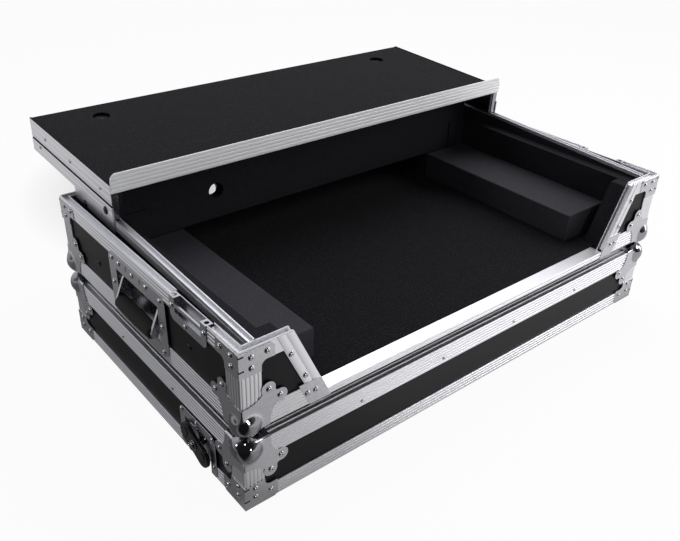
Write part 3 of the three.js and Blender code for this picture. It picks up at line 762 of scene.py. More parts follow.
@dataclass
class Dresser:
    """Gives each piece its finish and its body, and reports it."""

    nodes: dict[str, Piece]
    count: int = 0
    weld: float = 0.002
    flat_within: float = 0.5

    def dress(
        self, piece: Piece, finish: Finish, body: str, slot: str, replaced: Sequence[str] = ()
    ) -> Piece:
        """Dress a new piece.

        Args:
            piece: The piece, in place.
            finish: Its finish, unless it came with one.
            body: The CAD body that it rides on.
            slot: The record's material slot, which is not used.
            replaced: CAD nodes that it stands for.

        Returns:
            The piece.
        """
        if not piece.data.materials:
            piece.data.materials.append(finish.material())
        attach(piece, body)
        if replaced:
            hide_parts(*replaced)
        self.count += 1
        log.info("%s rides on %s", piece.name, body)
        return piece

    def paint(self, node: str, finish: Finish) -> None:
        """Give a CAD node that is kept its finish.

        Args:
            node: The CAD node.
            finish: Its finish.
        """
        data = self.nodes[node].data
        data.materials.clear()
        data.materials.append(finish.material())
        self.count += 1
        log.info("%s is kept as it is", node)

    def refined(
        self, node: str, finish: Finish, slot: str, width: float, segments: int = 2,
        suffix: str = "soft_edged",
    ) -> Piece:
        """Stand in for a CAD node with a welded copy whose edges are rounded.

        Args:
            node: The CAD node.
            finish: The copy's finish.
            slot: The record's material slot.
            width: Width of the rounding.
            segments: Number of steps in it.
            suffix: What is added to the node's name.

        Returns:
            The copy.
        """
        source = self.nodes[node]
        piece = copied(source, f"{node}_{suffix}", AS_DRAWN)
        piece.parent = None
        for key in list(piece.keys()):
            del piece[key]
        piece.data.materials.clear()
        pick_only(piece)
        bpy.ops.mesh.customdata_custom_splitnormals_clear()
        with edit_mode():
            bpy.ops.mesh.remove_doubles(threshold=self.weld * MM)
            bpy.ops.mesh.dissolve_limited(angle_limit=math.radians(self.flat_within))
        soften(piece, width, segments)
        return self.dress(piece, finish, source["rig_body"], slot, [node])


# Fluted extrusions


@dataclass
class FlutedAngles:
    """The aluminium edge angles, corner posts and closing rims, with the flutes of their die."""

    plan: CasePlan
    dresser: Dresser
    edge: float = 29.0
    edge_lands: int = 6
    post: float = 28.0
    post_start: float = 1.2
    post_lands: int = 5
    rim: float = 21.5
    rim_lands: int = 4
    rim_gap: float = 0.4
    margin: float = 0.6
    end_inset: float = 8.0
    crest: float = 0.62
    crest_rounding: float = 0.1
    valley: float = 0.12
    sink: float = 0.4
    groove: float = 1.5
    shoulder: float = 0.3
    smooth: float = 25.0
    rim_width: float = 10.6
    return_top: float = 71.0
    beads: tuple = (7.0, 14.0)
    bead_half: float = 0.8
    bead_height: float = 1.0
    bead_sink: float = 0.3
    bead_foot: float = 0.1
    bead_shoulder: float = 0.85
    sill_top: float = 10.2
    sill_lands: int = 2
    slant_width: float = 21.5
    slant_lands: int = 2
    slant_foot: float = 33.0
    slant_low: float = 126.0
    slant_high: float = 72.0
    plate_end: float = 112.0

    def profile(self, width: float, lands: int) -> list:
        """The fluted cross-section (across, out) of a strip of some width, with some lands.

        Args:
            width: Width of the strip.
            lands: Number of its lands.

        Returns:
            The cross-section.
        """
        pitch = width / lands
        brow = self.crest - self.crest_rounding
        points = [(0.0, -self.sink), (width, -self.sink), (width, self.valley)]
        for i in reversed(range(lands)):
            right = (i + 1) * pitch - self.groove / 2
            left = i * pitch + self.groove / 2
            points += [
                (right, self.valley), (right - self.shoulder, brow),
                (right - 2 * self.shoulder, self.crest), (left + 2 * self.shoulder, self.crest),
                (left + self.shoulder, brow), (left, self.valley),
            ]
        return points + [(0.0, self.valley)]

    def strip(
        self, name: str, width: float, lands: int, span: Range, place: Matrix,
        ends: tuple[float, float] = (0.0, 0.0),
    ) -> Piece:
        """A fluted strip.

        Args:
            name: Name of the strip.
            width: Its width.
            lands: Number of raised lands.
            span: Where it starts and ends.
            place: The frame (across, out, along).
            ends: Slope of each end across the strip.

        Returns:
            The strip.
        """
        piece = prism(name, self.profile(width, lands), span)
        middle = sum(span) / 2
        for vertex in piece.data.vertices:
            slope = ends[0] if vertex.co.z < middle else ends[1]
            vertex.co.z += slope * vertex.co.x
        shade_smooth(self.smooth)
        return put(piece, place, name)

    def level_runs(self, wall: Wall, half: Half, rise: Range, lands: int, gaps: Outline) -> list:
        """Level strips between gaps along a wall.

        Args:
            wall: The wall.
            half: The half of the case.
            rise: Their lower and upper edge above the half's foot.
            lands: Number of lands.
            gaps: Ranges along the wall that hardware fills, in order.

        Returns:
            The strips.
        """
        runs = runs_between(self.end_inset, gaps, self.plan.length(wall) - self.end_inset)
        return [self.level_strip(wall, half, rise, lands, span) for span in runs]

    def level_strip(self, wall: Wall, half: Half, rise: Range, lands: int, span: Range) -> Piece:
        """A strip that runs level along a wall.

        Args:
            wall: The wall.
            half: The half of the case.
            rise: Its lower and upper edge above the half's foot.
            lands: Number of lands.
            span: Where it starts and ends along the wall.

        Returns:
            The strip.
        """
        corner, along, out = self.plan.axes(wall)
        corner.z = self.plan.foot(half) + rise[0]
        place = local_frame(corner, Z_AXIS, out, along)
        return self.strip("level_strip", rise[1] - rise[0], lands, span, place)

    def post_strips(self, wall: Wall, half: Half, span: Range) -> list:
        """The strips that run up the corner posts at both ends of a wall.

        Args:
            wall: The wall.
            half: The half of the case.
            span: Their foot and top above the half's foot.

        Returns:
            The strips.
        """
        corner, along, out = self.plan.axes(wall)
        corner.z = self.plan.foot(half)
        strips = []
        for origin, inwards in ((corner, along), (corner + along * self.plan.length(wall), -along)):
            place = local_frame(origin + inwards * self.post_start, inwards, out, Z_AXIS)
            width = self.post - self.post_start
            strips.append(self.strip("post_strip", width, self.post_lands, span, place))
        return strips

    def slanted_strips(self) -> list:
        """Two-land strips down the slanted edges of the front returns.

        Returns:
            The strips.
        """
        height = self.plan.height(Half.BASE)
        lean = (self.slant_low - self.slant_high) / height
        root = math.hypot(1, lean)
        span = (self.slant_foot * root, (height - self.rim_gap) * root)
        strips = []
        for side in SIDES.values():
            along = Vector((side * lean, 0, 1)) / root
            across = Vector((side, 0, -lean)) / root
            outer = side * (self.plan.half_width - self.slant_low)
            origin = Vector((outer, self.plan.front, self.plan.base_foot))
            place = local_frame(origin, across, -Y_AXIS, along)
            ends = (lean, lean)
            strips.append(
                self.strip("slanted_strip", self.slant_width, self.slant_lands, span, place, ends)
            )
        return strips

    def on_edge(self, wall: Wall, level: float) -> Matrix:
        """The frame (inwards, up, along) of a wall's outer edge at a level.

        Args:
            wall: The wall.
            level: Level of the edge.

        Returns:
            The matrix from the edge to the scene.
        """
        corner, along, out = self.plan.axes(wall)
        corner.z = level
        return local_frame(corner, -out, Z_AXIS, along)

    def bead(self, across: float, span: Range) -> Piece:
        """A small round-topped bead on a level flat, in the frame of on_edge.

        Args:
            across: Its distance from the outer face.
            span: Where it starts and ends along the wall.

        Returns:
            The bead.
        """
        half, tall = self.bead_half, self.bead_height
        left, right, brow = across - half, across + half, self.bead_shoulder * tall
        outline = [
            (left, -self.bead_sink), (right, -self.bead_sink), (right, self.bead_foot),
            (across + half / 2, brow), (across, tall), (across - half / 2, brow),
            (left, self.bead_foot),
        ]
        return prism("bead", outline, span)

    def rim_beads(self, keep: Outline, back_keeps: Outline) -> list:
        """Beads along both edges of the base's rim, between the keeps.

        Args:
            keep: Range of the latch keep along each side wall.
            back_keeps: Ranges of the two keeps along the back wall.

        Returns:
            The beads.
        """
        level = self.plan.foot(Half.BASE) + self.plan.height(Half.BASE)
        beads = []
        for wall in Wall:
            length = self.plan.length(wall)
            opening = [(self.return_top, length - self.return_top)]
            gaps = {Wall.FRONT: opening, Wall.BACK: back_keeps}.get(wall, keep)
            for across in (self.bead_half, self.rim_width - self.bead_half):
                for span in runs_between(across, gaps, length - across):
                    bead = self.bead(across, span)
                    beads.append(put(bead, self.on_edge(wall, level), "rim_bead"))
        return beads

    def top_ring(self) -> list:
        """Mitred beads round the flat top of the lid's edge angle.

        Returns:
            The lengths of the ring.
        """
        beads = []
        for wall in Wall:
            length = self.plan.length(wall)
            for across in self.beads:
                bead = self.bead(across, (self.margin, length - self.margin))
                for vertex in bead.data.vertices:
                    vertex.co.z += vertex.co.x if vertex.co.z < length / 2 else -vertex.co.x
                beads.append(put(bead, self.on_edge(wall, self.plan.lid_top), "top_bead"))
        return beads

    def dress(self, half: Half, flutes: list, bead_name: str, beads: list) -> None:
        """Join and dress the flutes and the beads of one half.

        Args:
            half: The half of the case.
            flutes: Its strips.
            bead_name: Name of its joined beads.
            beads: Its beads.
        """
        body, slot = half.value, "satin_aluminium"
        self.dresser.dress(joined(f"{body}_flutes", flutes), SATIN_EXTRUSION, body, slot)
        # The beads take the paler finish, which is a painted highlight.
        self.dresser.dress(joined(bead_name, beads), HIGHLIGHT_EXTRUSION, body, slot)

    def build_lid(self, latch: Outline, back_latches: Outline) -> None:
        """Flute the lid.

        Args:
            latch: Range of the latch along each side wall.
            back_latches: Ranges of the two latches along the back wall.
        """
        lid, height = Half.LID, self.plan.height(Half.LID)
        edge_rise = (height - self.edge, height - self.margin)
        rim_rise = (self.margin, self.rim - self.margin)
        pieces = []
        for wall in Wall:
            gaps = {Wall.FRONT: [], Wall.BACK: back_latches}.get(wall, latch)
            pieces += self.level_runs(wall, lid, edge_rise, self.edge_lands, [])
            pieces += self.level_runs(wall, lid, rim_rise, self.rim_lands, gaps)
            pieces += self.post_strips(wall, lid, (self.rim + self.rim_gap, height - self.edge))
        self.dress(lid, pieces, "lid_top_beads", self.top_ring())

    def build_base(self, keep: Outline, back_keeps: Outline, handle: Outline) -> None:
        """Flute the base, whose sill lies between the joint plates of the front wall.

        Args:
            keep: Range of the latch keep along each side wall.
            back_keeps: Ranges of the two keeps along the back wall.
            handle: Range of the handle along each side wall.
        """
        base, height = Half.BASE, self.plan.height(Half.BASE)
        sill = (self.plate_end, self.plan.length(Wall.FRONT) - self.plate_end)
        edge_rise = (self.margin, self.edge)
        rim_rise = (height - self.rim, height - self.margin)
        pieces = []
        for wall in Wall:
            gaps = {Wall.FRONT: [sill], Wall.BACK: []}.get(wall, handle)
            pieces += self.level_runs(wall, base, edge_rise, self.edge_lands, gaps)
            if wall is not Wall.FRONT:
                gaps = back_keeps if wall is Wall.BACK else keep
                pieces += self.level_runs(wall, base, rim_rise, self.rim_lands, gaps)
            pieces += self.post_strips(wall, base, (self.edge, height - self.rim - self.rim_gap))
        sill_rise = (self.margin, self.sill_top)
        pieces.append(self.level_strip(Wall.FRONT, base, sill_rise, self.sill_lands, sill))
        pieces += self.slanted_strips()
        self.dress(base, pieces, "base_rim_beads", self.rim_beads(keep, back_keeps))


# Corners and braces


@dataclass
class BallCorners:
    """Pressed steel corners: a ball that blends into three scalloped leaves."""

    plan: CasePlan
    dresser: Dresser
    radius: float = 18.3
    inset: float = 9.75
    face: float = 1.5
    sheet: float = 1.2
    fold: float = 3.0
    blend: float = 7.5
    collar_turn: float = 0.4
    reach: float = 66.0
    cuts: int = 51
    leg: float = 37.0
    leg_flare: float = 0.3
    lobe_near: float = 36.0
    lobe_far: float = 52.0
    lobe_radius: float = 9.5
    lobe_steps: int = 14
    waist: float = 20.0
    cutter_out: float = 30.0
    cutter_in: float = 1.0
    smooth: float = 40.0
    polish_in: float = 0.1
    polish_out: float = 1.6
    rivet_shift: float = 0.5

    def leaf(self) -> list:
        """The outline of one leaf, carried past the folds.

        Returns:
            Its corners.
        """
        near, far, r, leg = self.lobe_near, self.lobe_far, self.lobe_radius, self.leg
        middle, flare = (near + far) / 2, leg + self.leg_flare
        first = arc((far, near), r, -120, 90, self.lobe_steps)
        second = arc((near, far), r, 0, 210, self.lobe_steps)
        lower = curve((leg, 0), (flare, self.waist), first[0])
        crook = curve(first[-1], (middle, middle), second[0])
        upper = curve(second[-1], (self.waist, flare), (0, leg))
        edge = -self.cutter_out
        lobes = [*lower, *first, *crook, *second, *upper]
        return [(edge, edge), (leg, edge), (leg, 0), *lobes, (0, leg), (edge, leg)]

    def raised(self, vertex: Vector) -> Vector:
        """Push a point of the folded blank out over the ball and into the dished collar round it.

        Args:
            vertex: A point on the outside of the blank.

        Returns:
            Its place on the pressing.
        """
        inner = Vector([max(value, self.fold - self.face) for value in vertex])
        turn = vertex - inner
        if turn.length > 0:
            vertex = inner + turn.normalized() * self.fold
        centre = Vector((self.inset,) * 3)
        ray = vertex - centre
        distance = ray.length
        towards_leaf = min(max(max(ray) / distance / self.collar_turn, 0.0), 1.0)
        overlap = max(self.blend - abs(distance - self.radius), 0) / self.blend
        collar = towards_leaf * overlap * overlap * self.blend / 4
        return centre + ray.normalized() * (max(distance, self.radius) + collar)

    def pressing(self) -> Piece:
        """Press one corner in millimetres, drawn with the case towards +x, +y and +z.

        Returns:
            The pressing.
        """
        size = self.reach + self.face
        middle = self.reach / 2 - self.face / 2
        bpy.ops.object.select_all(action="DESELECT")
        bpy.ops.mesh.primitive_cube_add(size=size, location=(middle, middle, middle))
        piece = bpy.context.active_object
        bpy.ops.object.transform_apply(location=True, rotation=True, scale=True)
        with edit_mode("DESELECT"):
            pass
        for face in piece.data.polygons:
            face.select = sum(face.normal) > 0
        with edit_mode(None):
            bpy.ops.mesh.select_mode(type="FACE")
            bpy.ops.mesh.delete(type="FACE")
            bpy.ops.mesh.select_all(action="SELECT")
            bpy.ops.mesh.subdivide(number_cuts=self.cuts)
            bpy.ops.mesh.select_mode(type="VERT")
        for vertex in piece.data.vertices:
            vertex.co = self.raised(vertex.co)
        apply_modifier(piece, "SOLIDIFY", thickness=self.sheet, offset=-1.0)
        leaf, depth = self.leaf(), (-self.cutter_out, self.cutter_in)
        turns = (*CORNER_TURNS[1:], AS_DRAWN)
        cutter, second, third = (prism("leaf_cutter", leaf, depth, turn) for turn in turns)
        carve(piece, carve(carve(cutter, second, "UNION"), third, "UNION"), "INTERSECT")
        pick_only(piece)
        shade_smooth(self.smooth)
        piece.data.materials.append(ZINC_PLATE.material())
        piece.data.materials.append(POLISHED_NICKEL.material())
        centre = Vector((self.inset,) * 3)
        low, high = self.radius - self.polish_in, self.radius + self.polish_out
        for polygon in piece.data.polygons:
            out = polygon.center - centre
            on_ball = low < out.length < high and out.dot(polygon.normal) > 0
            polygon.material_index = 1 if on_ball else 0
        return piece

    def frames(self, half: Half) -> Iterator[tuple[int, int, Matrix]]:
        """Each corner of a half: its side, its end and its frame.

        Args:
            half: The half.

        Yields:
            For each corner its side, its end and its frame.
        """
        level, up = (self.plan.lid_top, -1) if half is Half.LID else (self.plan.base_foot, 1)
        for side, end in CORNERS:
            yield side, end, self.plan.at_corner(side, end, up, level)

    def build(self) -> None:
        """Press the eight corners and put them on the case."""
        corner = self.pressing()
        for half in Half:
            for side, end, frame in self.frames(half):
                place = f"{'front' if end < 0 else 'rear'}_{'left' if side < 0 else 'right'}"
                node = f"{half.value}_ball_corner_{place}"
                piece = copied(corner, f"{node}_pressing", frame)
                self.dresser.dress(piece, POLISHED_NICKEL, half.value, "chromed_corner", [node])
        bpy.data.objects.remove(corner)

    def rivet_spots(self, half: Half) -> list[Spot]:
        """Where the leaves are riveted to the walls and to the flat of the half.

        Args:
            half: The half.

        Returns:
            Spots for rivets.
        """
        near, far = self.lobe_near + self.rivet_shift, self.lobe_far - self.rivet_shift
        spots = []
        for _, _, frame in self.frames(half):
            for turn in CORNER_TURNS:
                local = frame @ turn @ Matrix.Diagonal((1, 1, -1, 1))
                spots += [(local, near, far, self.face), (local, far, near, self.face)]
        return spots


@dataclass
class Braces:
    """What is seen on the folded braces: their rivets, and near-black pieces at the fold that are
    painted shade in its slots.
    """

    plan: CasePlan
    dresser: Dresser
    sheet: float = 1.2
    lid_rivets: tuple = ((14.0, 28.5), (14.0, 14.5), (36.0, 14.0))
    base_rivets: tuple = ((15.0, -10.5), (15.0, -25.0), (36.0, -10.5))
    lid_slots: tuple = (32.5, 13.5)
    base_slots: tuple = (-6.0, -25.0)
    slot_length: float = 5.5
    slot_height: float = 1.9
    slot_nick: float = 0.8
    slot_proud: float = 0.15

    def rivet_spots(self, half: Half) -> list[Spot]:
        """Where the braces are riveted, at both ends of each wall of a half.

        Args:
            half: The half.

        Returns:
            Spots for rivets.
        """
        spots = []
        for wall in Wall:
            frame, length = self.plan.on_wall(wall, half), self.plan.length(wall)
            for along, up in self.lid_rivets if half is Half.LID else self.base_rivets:
                level = self.plan.rise(half, up)
                spots += [(frame, u, level, self.sheet) for u in (along, length - along)]
        return spots

    def build_slot_shades(self) -> None:
        """Lay near-black pieces, which are painted shade, over the slots where each brace is folded
        round its corner.
        """
        out, reach, nick = self.sheet + self.slot_proud, self.slot_length, self.slot_nick
        outline = [(-out, -out), (reach, -out), (reach, 0), (0, 0), (0, nick), (-out, nick)]
        for half, heights in ((Half.LID, self.lid_slots), (Half.BASE, self.base_slots)):
            pieces = []
            for side, end in CORNERS:
                frame = self.plan.at_corner(side, end, 1, self.plan.foot(half))
                for level in (self.plan.rise(half, height) for height in heights):
                    span = (level - self.slot_height / 2, level + self.slot_height / 2)
                    pieces.append(prism("fold_slot_shade", outline, span, frame))
            slots = joined(f"{half.value}_brace_slot_shades", pieces)
            # The near-black pieces are painted shade.
            self.dresser.dress(slots, BLACK_STEEL_AND_SLOT_SHADE, half.value, "satin_aluminium")


# Latches and handles


@dataclass
class TwistLatches:
    """Recessed butterfly latches: dish, hook, wing and hub in the lid, and a keep in the base."""

    plan: CasePlan
    dresser: Dresser
    from_front: float = 106.0
    back_spacing: float = 430.0
    dish_width: float = 86.0
    keep_width: float = 84.0
    gap: float = 0.5
    dish_rounding: float = 0.5
    hook_rounding: float = 0.4
    keep_rounding: float = 0.45
    key_height: float = 30.0
    wing_reach: float = 34.0
    wing_tip: float = 15.5
    wing_steps: int = 12
    wing_waist: float = 14.0
    wing_back: float = 3.1
    wing_thickness: float = 5.4
    wing_rounding: float = 1.3
    wing_tilt: float = 21.0
    pad_middle: float = 21.0
    pad_half: tuple = (5.0, 9.0)
    pad_radius: float = 4.5
    pad_sink: float = 0.5
    pad_height: float = 0.9
    pad_rounding: float = 0.5
    hub_radius: float = 6.0
    hub_proud: float = 12.6
    hub_foot: float = -7.1
    hub_steps: int = 28
    hub_rounding: float = 0.15
    slot_half: float = 0.7
    slot_depth: float = 1.6
    overrun: float = 1.0
    roll_radius: float = 1.7
    roll_half: float = 9.0
    roll_level: float = 43.5
    roll_shift: float = 15.5
    roll_out: float = 3.6
    roll_chamfer: float = 0.4
    roll_steps: int = 16
    smooth: float = 40.0
    plate_face: float = 1.5
    dish_rivets: tuple = ((37.0, 61.0), (-37.0, 61.0), (0.0, 61.5), (37.0, 16.0), (-37.0, 16.0))
    keep_rivets: tuple = ((6.0, -28.0), (36.5, -13.0), (-36.5, -13.0))

    def places(self) -> dict[str, tuple[Vector, Vector, Vector]]:
        """Each latch's middle at level 0, the direction out of its wall and the one along it.

        Returns:
            The three for each latch, by its name.
        """
        side, middle = self.plan.half_width, self.plan.front + self.from_front
        half = self.back_spacing / 2
        return {
            "left": (Vector((-side, middle, 0)), -X_AXIS, Y_AXIS),
            "right": (Vector((side, middle, 0)), X_AXIS, Y_AXIS),
            "back_left": (Vector((-half, self.plan.rear, 0)), Y_AXIS, -X_AXIS),
            "back_right": (Vector((half, self.plan.rear, 0)), Y_AXIS, -X_AXIS),
        }

    def frame(self, wall: str, level: float) -> Matrix:
        """The frame (along, up, out) of a latch at a level."""
        middle, out, along = self.places()[wall]
        return local_frame(middle + Z_AXIS * level, along, Z_AXIS, out)

    def ranges(self, width: float) -> tuple[list, list]:
        """What the latches or keeps take of the side walls and of the back wall.

        Args:
            width: Width of each.

        Returns:
            The ranges along a side wall, and along the back wall.
        """
        half = width / 2 + self.gap
        shifts = (-self.back_spacing / 2, self.back_spacing / 2)
        middles = [self.plan.half_width + shift for shift in shifts]
        side = [(self.from_front - half, self.from_front + half)]
        return side, [(middle - half, middle + half) for middle in middles]

    def wing(self, name: str, place: Matrix) -> Piece:
        """The black butterfly wing, with raised finger pads.

        Args:
            name: Name of the wing.
            place: The frame of the turned key.

        Returns:
            The wing.
        """
        reach, tip = self.wing_reach - self.wing_tip, self.wing_tip
        pull = 2 * self.wing_waist - tip
        right = arc((reach, 0), tip, -90, 90, self.wing_steps)
        left = arc((-reach, 0), tip, 90, 270, self.wing_steps)
        upper = curve(right[-1], (0, pull), left[0])
        lower = curve(left[-1], (0, -pull), right[0])
        back, front = self.wing_back, self.wing_back + self.wing_thickness
        wing = prism(name, [*right, *upper, *left, *lower], (back, front), place)
        pieces = [soften(wing, self.wing_rounding, 3)]
        half, tall = self.pad_half
        for middle in (-self.pad_middle, self.pad_middle):
            pad = rounded((middle - half, middle + half), (-tall, tall), (self.pad_radius,) * 4)
            span = (front - self.pad_sink, front + self.pad_height)
            pieces.append(soften(prism("finger_pad", pad, span, place), self.pad_rounding))
        return joined(name, pieces)

    def hub(self, name: str, place: Matrix) -> Piece:
        """The bright spindle with its collar and screw slot.

        Args:
            name: Name of the hub.
            place: The frame of the turned key.

        Returns:
            The hub.
        """
        r, top, foot = self.hub_radius, self.hub_proud, self.hub_foot
        collar = self.wing_back + self.wing_thickness
        profile = [
            (0, foot), (r - 0.6, foot), (r - 0.6, collar - 0.2), (r + 1.6, collar - 0.2),
            (r + 1.6, collar + 0.7), (r + 0.8, collar + 1.3), (r - 1.2, collar + 1.5),
            (r - 1.2, collar + 2.3), (r, collar + 2.6), (r, top - 0.9), (r - 0.3, top - 0.3),
            (r - 1.0, top), (0, top),
        ]
        hub = turned(name, profile, self.hub_steps, place)
        width, length = (-self.slot_half, self.slot_half), (-r - self.overrun, r + self.overrun)
        depth = (top - self.slot_depth, top + self.overrun)
        carve(hub, block("screw_slot", length, width, depth, place))
        return soften(hub, self.hub_rounding, 1, self.smooth)

    def hook_roll(self, wall: str) -> Piece:
        """The bright rolled bar across the hook plate of the latch on a wall.

        Args:
            wall: The latch, by its place.

        Returns:
            The roll.
        """
        middle, out, along = self.places()[wall]
        level = self.plan.lid_foot + self.roll_level
        centre = middle + Z_AXIS * level + out * (self.hub_foot + self.roll_out)
        place = local_frame(centre + along * self.roll_shift, out, Z_AXIS, along)
        r, half, cut = self.roll_radius, self.roll_half, self.roll_chamfer
        start, end = -half + cut, half - cut
        profile = [(0, -half), (r - cut, -half), (r, start), (r, end), (r - cut, half), (0, half)]
        return turned(f"{wall}_hook_roll", profile, self.roll_steps, place, self.smooth)

    def build(self) -> None:
        """Dress the four latches and their keeps."""
        tilt = Matrix.Rotation(math.radians(self.wing_tilt), 4, "Z")
        roundings = {
            "dish": self.dish_rounding, "hook": self.hook_rounding, "keep": self.keep_rounding
        }
        for wall in self.places():
            for part, width in roundings.items():
                self.dresser.refined(f"{wall}_latch_{part}", ZINC_PLATE, "zinc_plate", width)
            key = self.frame(wall, self.plan.lid_foot + self.key_height) @ tilt
            wing = self.wing(f"{wall}_latch_wing", key)
            self.dresser.dress(wing, NYLON, f"{wall}_key", "black_plastic", [f"{wall}_latch_key"])
            hub = self.hub(f"{wall}_latch_hub", key)
            self.dresser.dress(hub, POLISHED_NICKEL, f"{wall}_key", "zinc_plate")
            roll = self.hook_roll(wall)
            self.dresser.dress(roll, SATIN_EXTRUSION, f"{wall}_hook", "zinc_plate")

    def rivet_spots(self, half: Half) -> list[Spot]:
        """Where the dishes are riveted to the lid, or the keeps to the base.

        Args:
            half: The half.

        Returns:
            Spots for rivets.
        """
        in_lid = half is Half.LID
        level = self.plan.lid_foot if in_lid else self.plan.base_top
        places = self.dish_rivets if in_lid else self.keep_rivets
        frames = [self.frame(wall, level) for wall in self.places()]
        return [(frame, u, v, self.plate_face) for frame in frames for u, v in places]


@dataclass
class SideHandles:
    """Recessed handles: a pressed dish, a steel bail and a rubber grip."""

    plan: CasePlan
    dresser: Dresser
    from_front: float = 240.0
    width: float = 155.0
    gap: float = 0.5
    dish_rounding: float = 0.6
    bail_rounding: float = 0.5
    grip_radius: float = 10.5
    grip_out: float = 5.0
    grip_height: float = 34.7
    grip_half: float = 46.7
    grip_bore: float = 4.4
    grip_end: float = 3.0
    grip_rings: int = 12
    grip_steps: int = 32
    crown: float = 0.9
    smooth: float = 50.0
    plate_face: float = 1.5
    slot_span: tuple = (87.0, 96.5)
    slots: tuple = (24.0, -15.0)
    slot_bow: float = 3.8
    slot_width: float = 2.4
    slot_steps: int = 10
    slot_sink: float = 0.2
    slot_proud: float = 0.12
    rivets: tuple = (
        (67.0, 91.0), (47.0, 90.0), (9.0, 90.3), (-29.0, 92.0), (-65.0, 90.0), (69.0, 53.0),
        (-65.0, 52.0), (-64.0, 13.0), (66.0, 13.0), (20.0, 10.0), (-19.5, 10.0),
    )

    def grip(self, name: str, side: int) -> Piece:
        """A smooth rubber sleeve with rounded ends, a little fuller in the middle.

        Args:
            name: Name of the grip.
            side: -1 on the left or 1 on the right.

        Returns:
            The grip.
        """
        half, bore, end = self.grip_half, self.grip_bore, self.grip_radius - self.crown
        # The rounded end as the radius and its distance from the sleeve's end.
        rounding = [(bore, 0), (end - 2.6, 0), (end - 1.1, 0.5), (end - 0.3, 1.6)]
        shares = [2 * i / self.grip_rings - 1 for i in range(self.grip_rings + 1)]
        length, crown = half - self.grip_end, self.crown
        barrel = [(self.grip_radius - crown * share * share, share * length) for share in shares]
        near = [(radius, -half + inset) for radius, inset in rounding]
        far = [(radius, half - inset) for radius, inset in reversed(rounding)]
        across = side * (self.plan.half_width + self.grip_out)
        along, level = self.plan.front + self.from_front, self.plan.base_foot + self.grip_height
        centre = Vector((across, along, level))
        place = local_frame(centre, X_AXIS * side, Z_AXIS, Y_AXIS)
        return turned(name, [*near, *barrel, *far], self.grip_steps, place, self.smooth)

    def curved_slot_shades(self, name: str, side: int) -> Piece:
        """Near-black inlays, which are painted shade, laid over the two bowed slots that are
        punched in a dish's upper flange.

        Args:
            name: Name of the slots.
            side: -1 on the left or 1 on the right.

        Returns:
            The inlays as one object.
        """
        foot, top = self.slot_span
        middle = (foot + top) / 2
        span = (self.plate_face - self.slot_sink, self.plate_face + self.slot_proud)
        place = self.plan.on_side(side, self.from_front)
        pieces = []
        for x in self.slots:
            outer, inner = x + 2 * self.slot_bow, x + 2 * (self.slot_bow - self.slot_width)
            rising = curve((x, foot), (outer, middle), (x, top), self.slot_steps)
            falling = curve((x, top), (inner, middle), (x, foot), self.slot_steps)
            outline = [(x, foot), *rising, (x, top), *falling]
            pieces.append(prism("curved_slot_shade", outline, span, place))
        return joined(name, pieces)

    def build(self) -> None:
        """Dress both handles."""
        dresser, slot = self.dresser, "zinc_plate"
        for name, side in SIDES.items():
            dresser.refined(f"{name}_handle_dish", ZINC_PLATE, slot, self.dish_rounding, 3)
            dresser.refined(f"{name}_handle_bail", ZINC_PLATE, slot, self.bail_rounding)
            grip = self.grip(f"{name}_grip_sleeve", side)
            replaced = [f"{name}_handle_grip"]
            dresser.dress(grip, RUBBER_AND_SHADE_STRIP, f"{name}_handle", "black_rubber", replaced)
            # The dark inlays over the flange's slots are painted shade.
            slots = self.curved_slot_shades(f"{name}_handle_slot_shades", side)
            dresser.dress(slots, BLACK_STEEL_AND_SLOT_SHADE, "base", slot)

    def spans(self) -> list[Range]:
        """What the handle takes of a side wall."""
        half = self.width / 2 + self.gap
        return [(self.from_front - half, self.from_front + half)]

    def rivet_spots(self) -> list[Spot]:
        """Where the dishes are riveted."""
        frames = [self.plan.on_side(side, self.from_front) for side in SIDES.values()]
        return [(frame, u, v, self.plate_face) for frame in frames for u, v in self.rivets]


# Walls, frames and lining


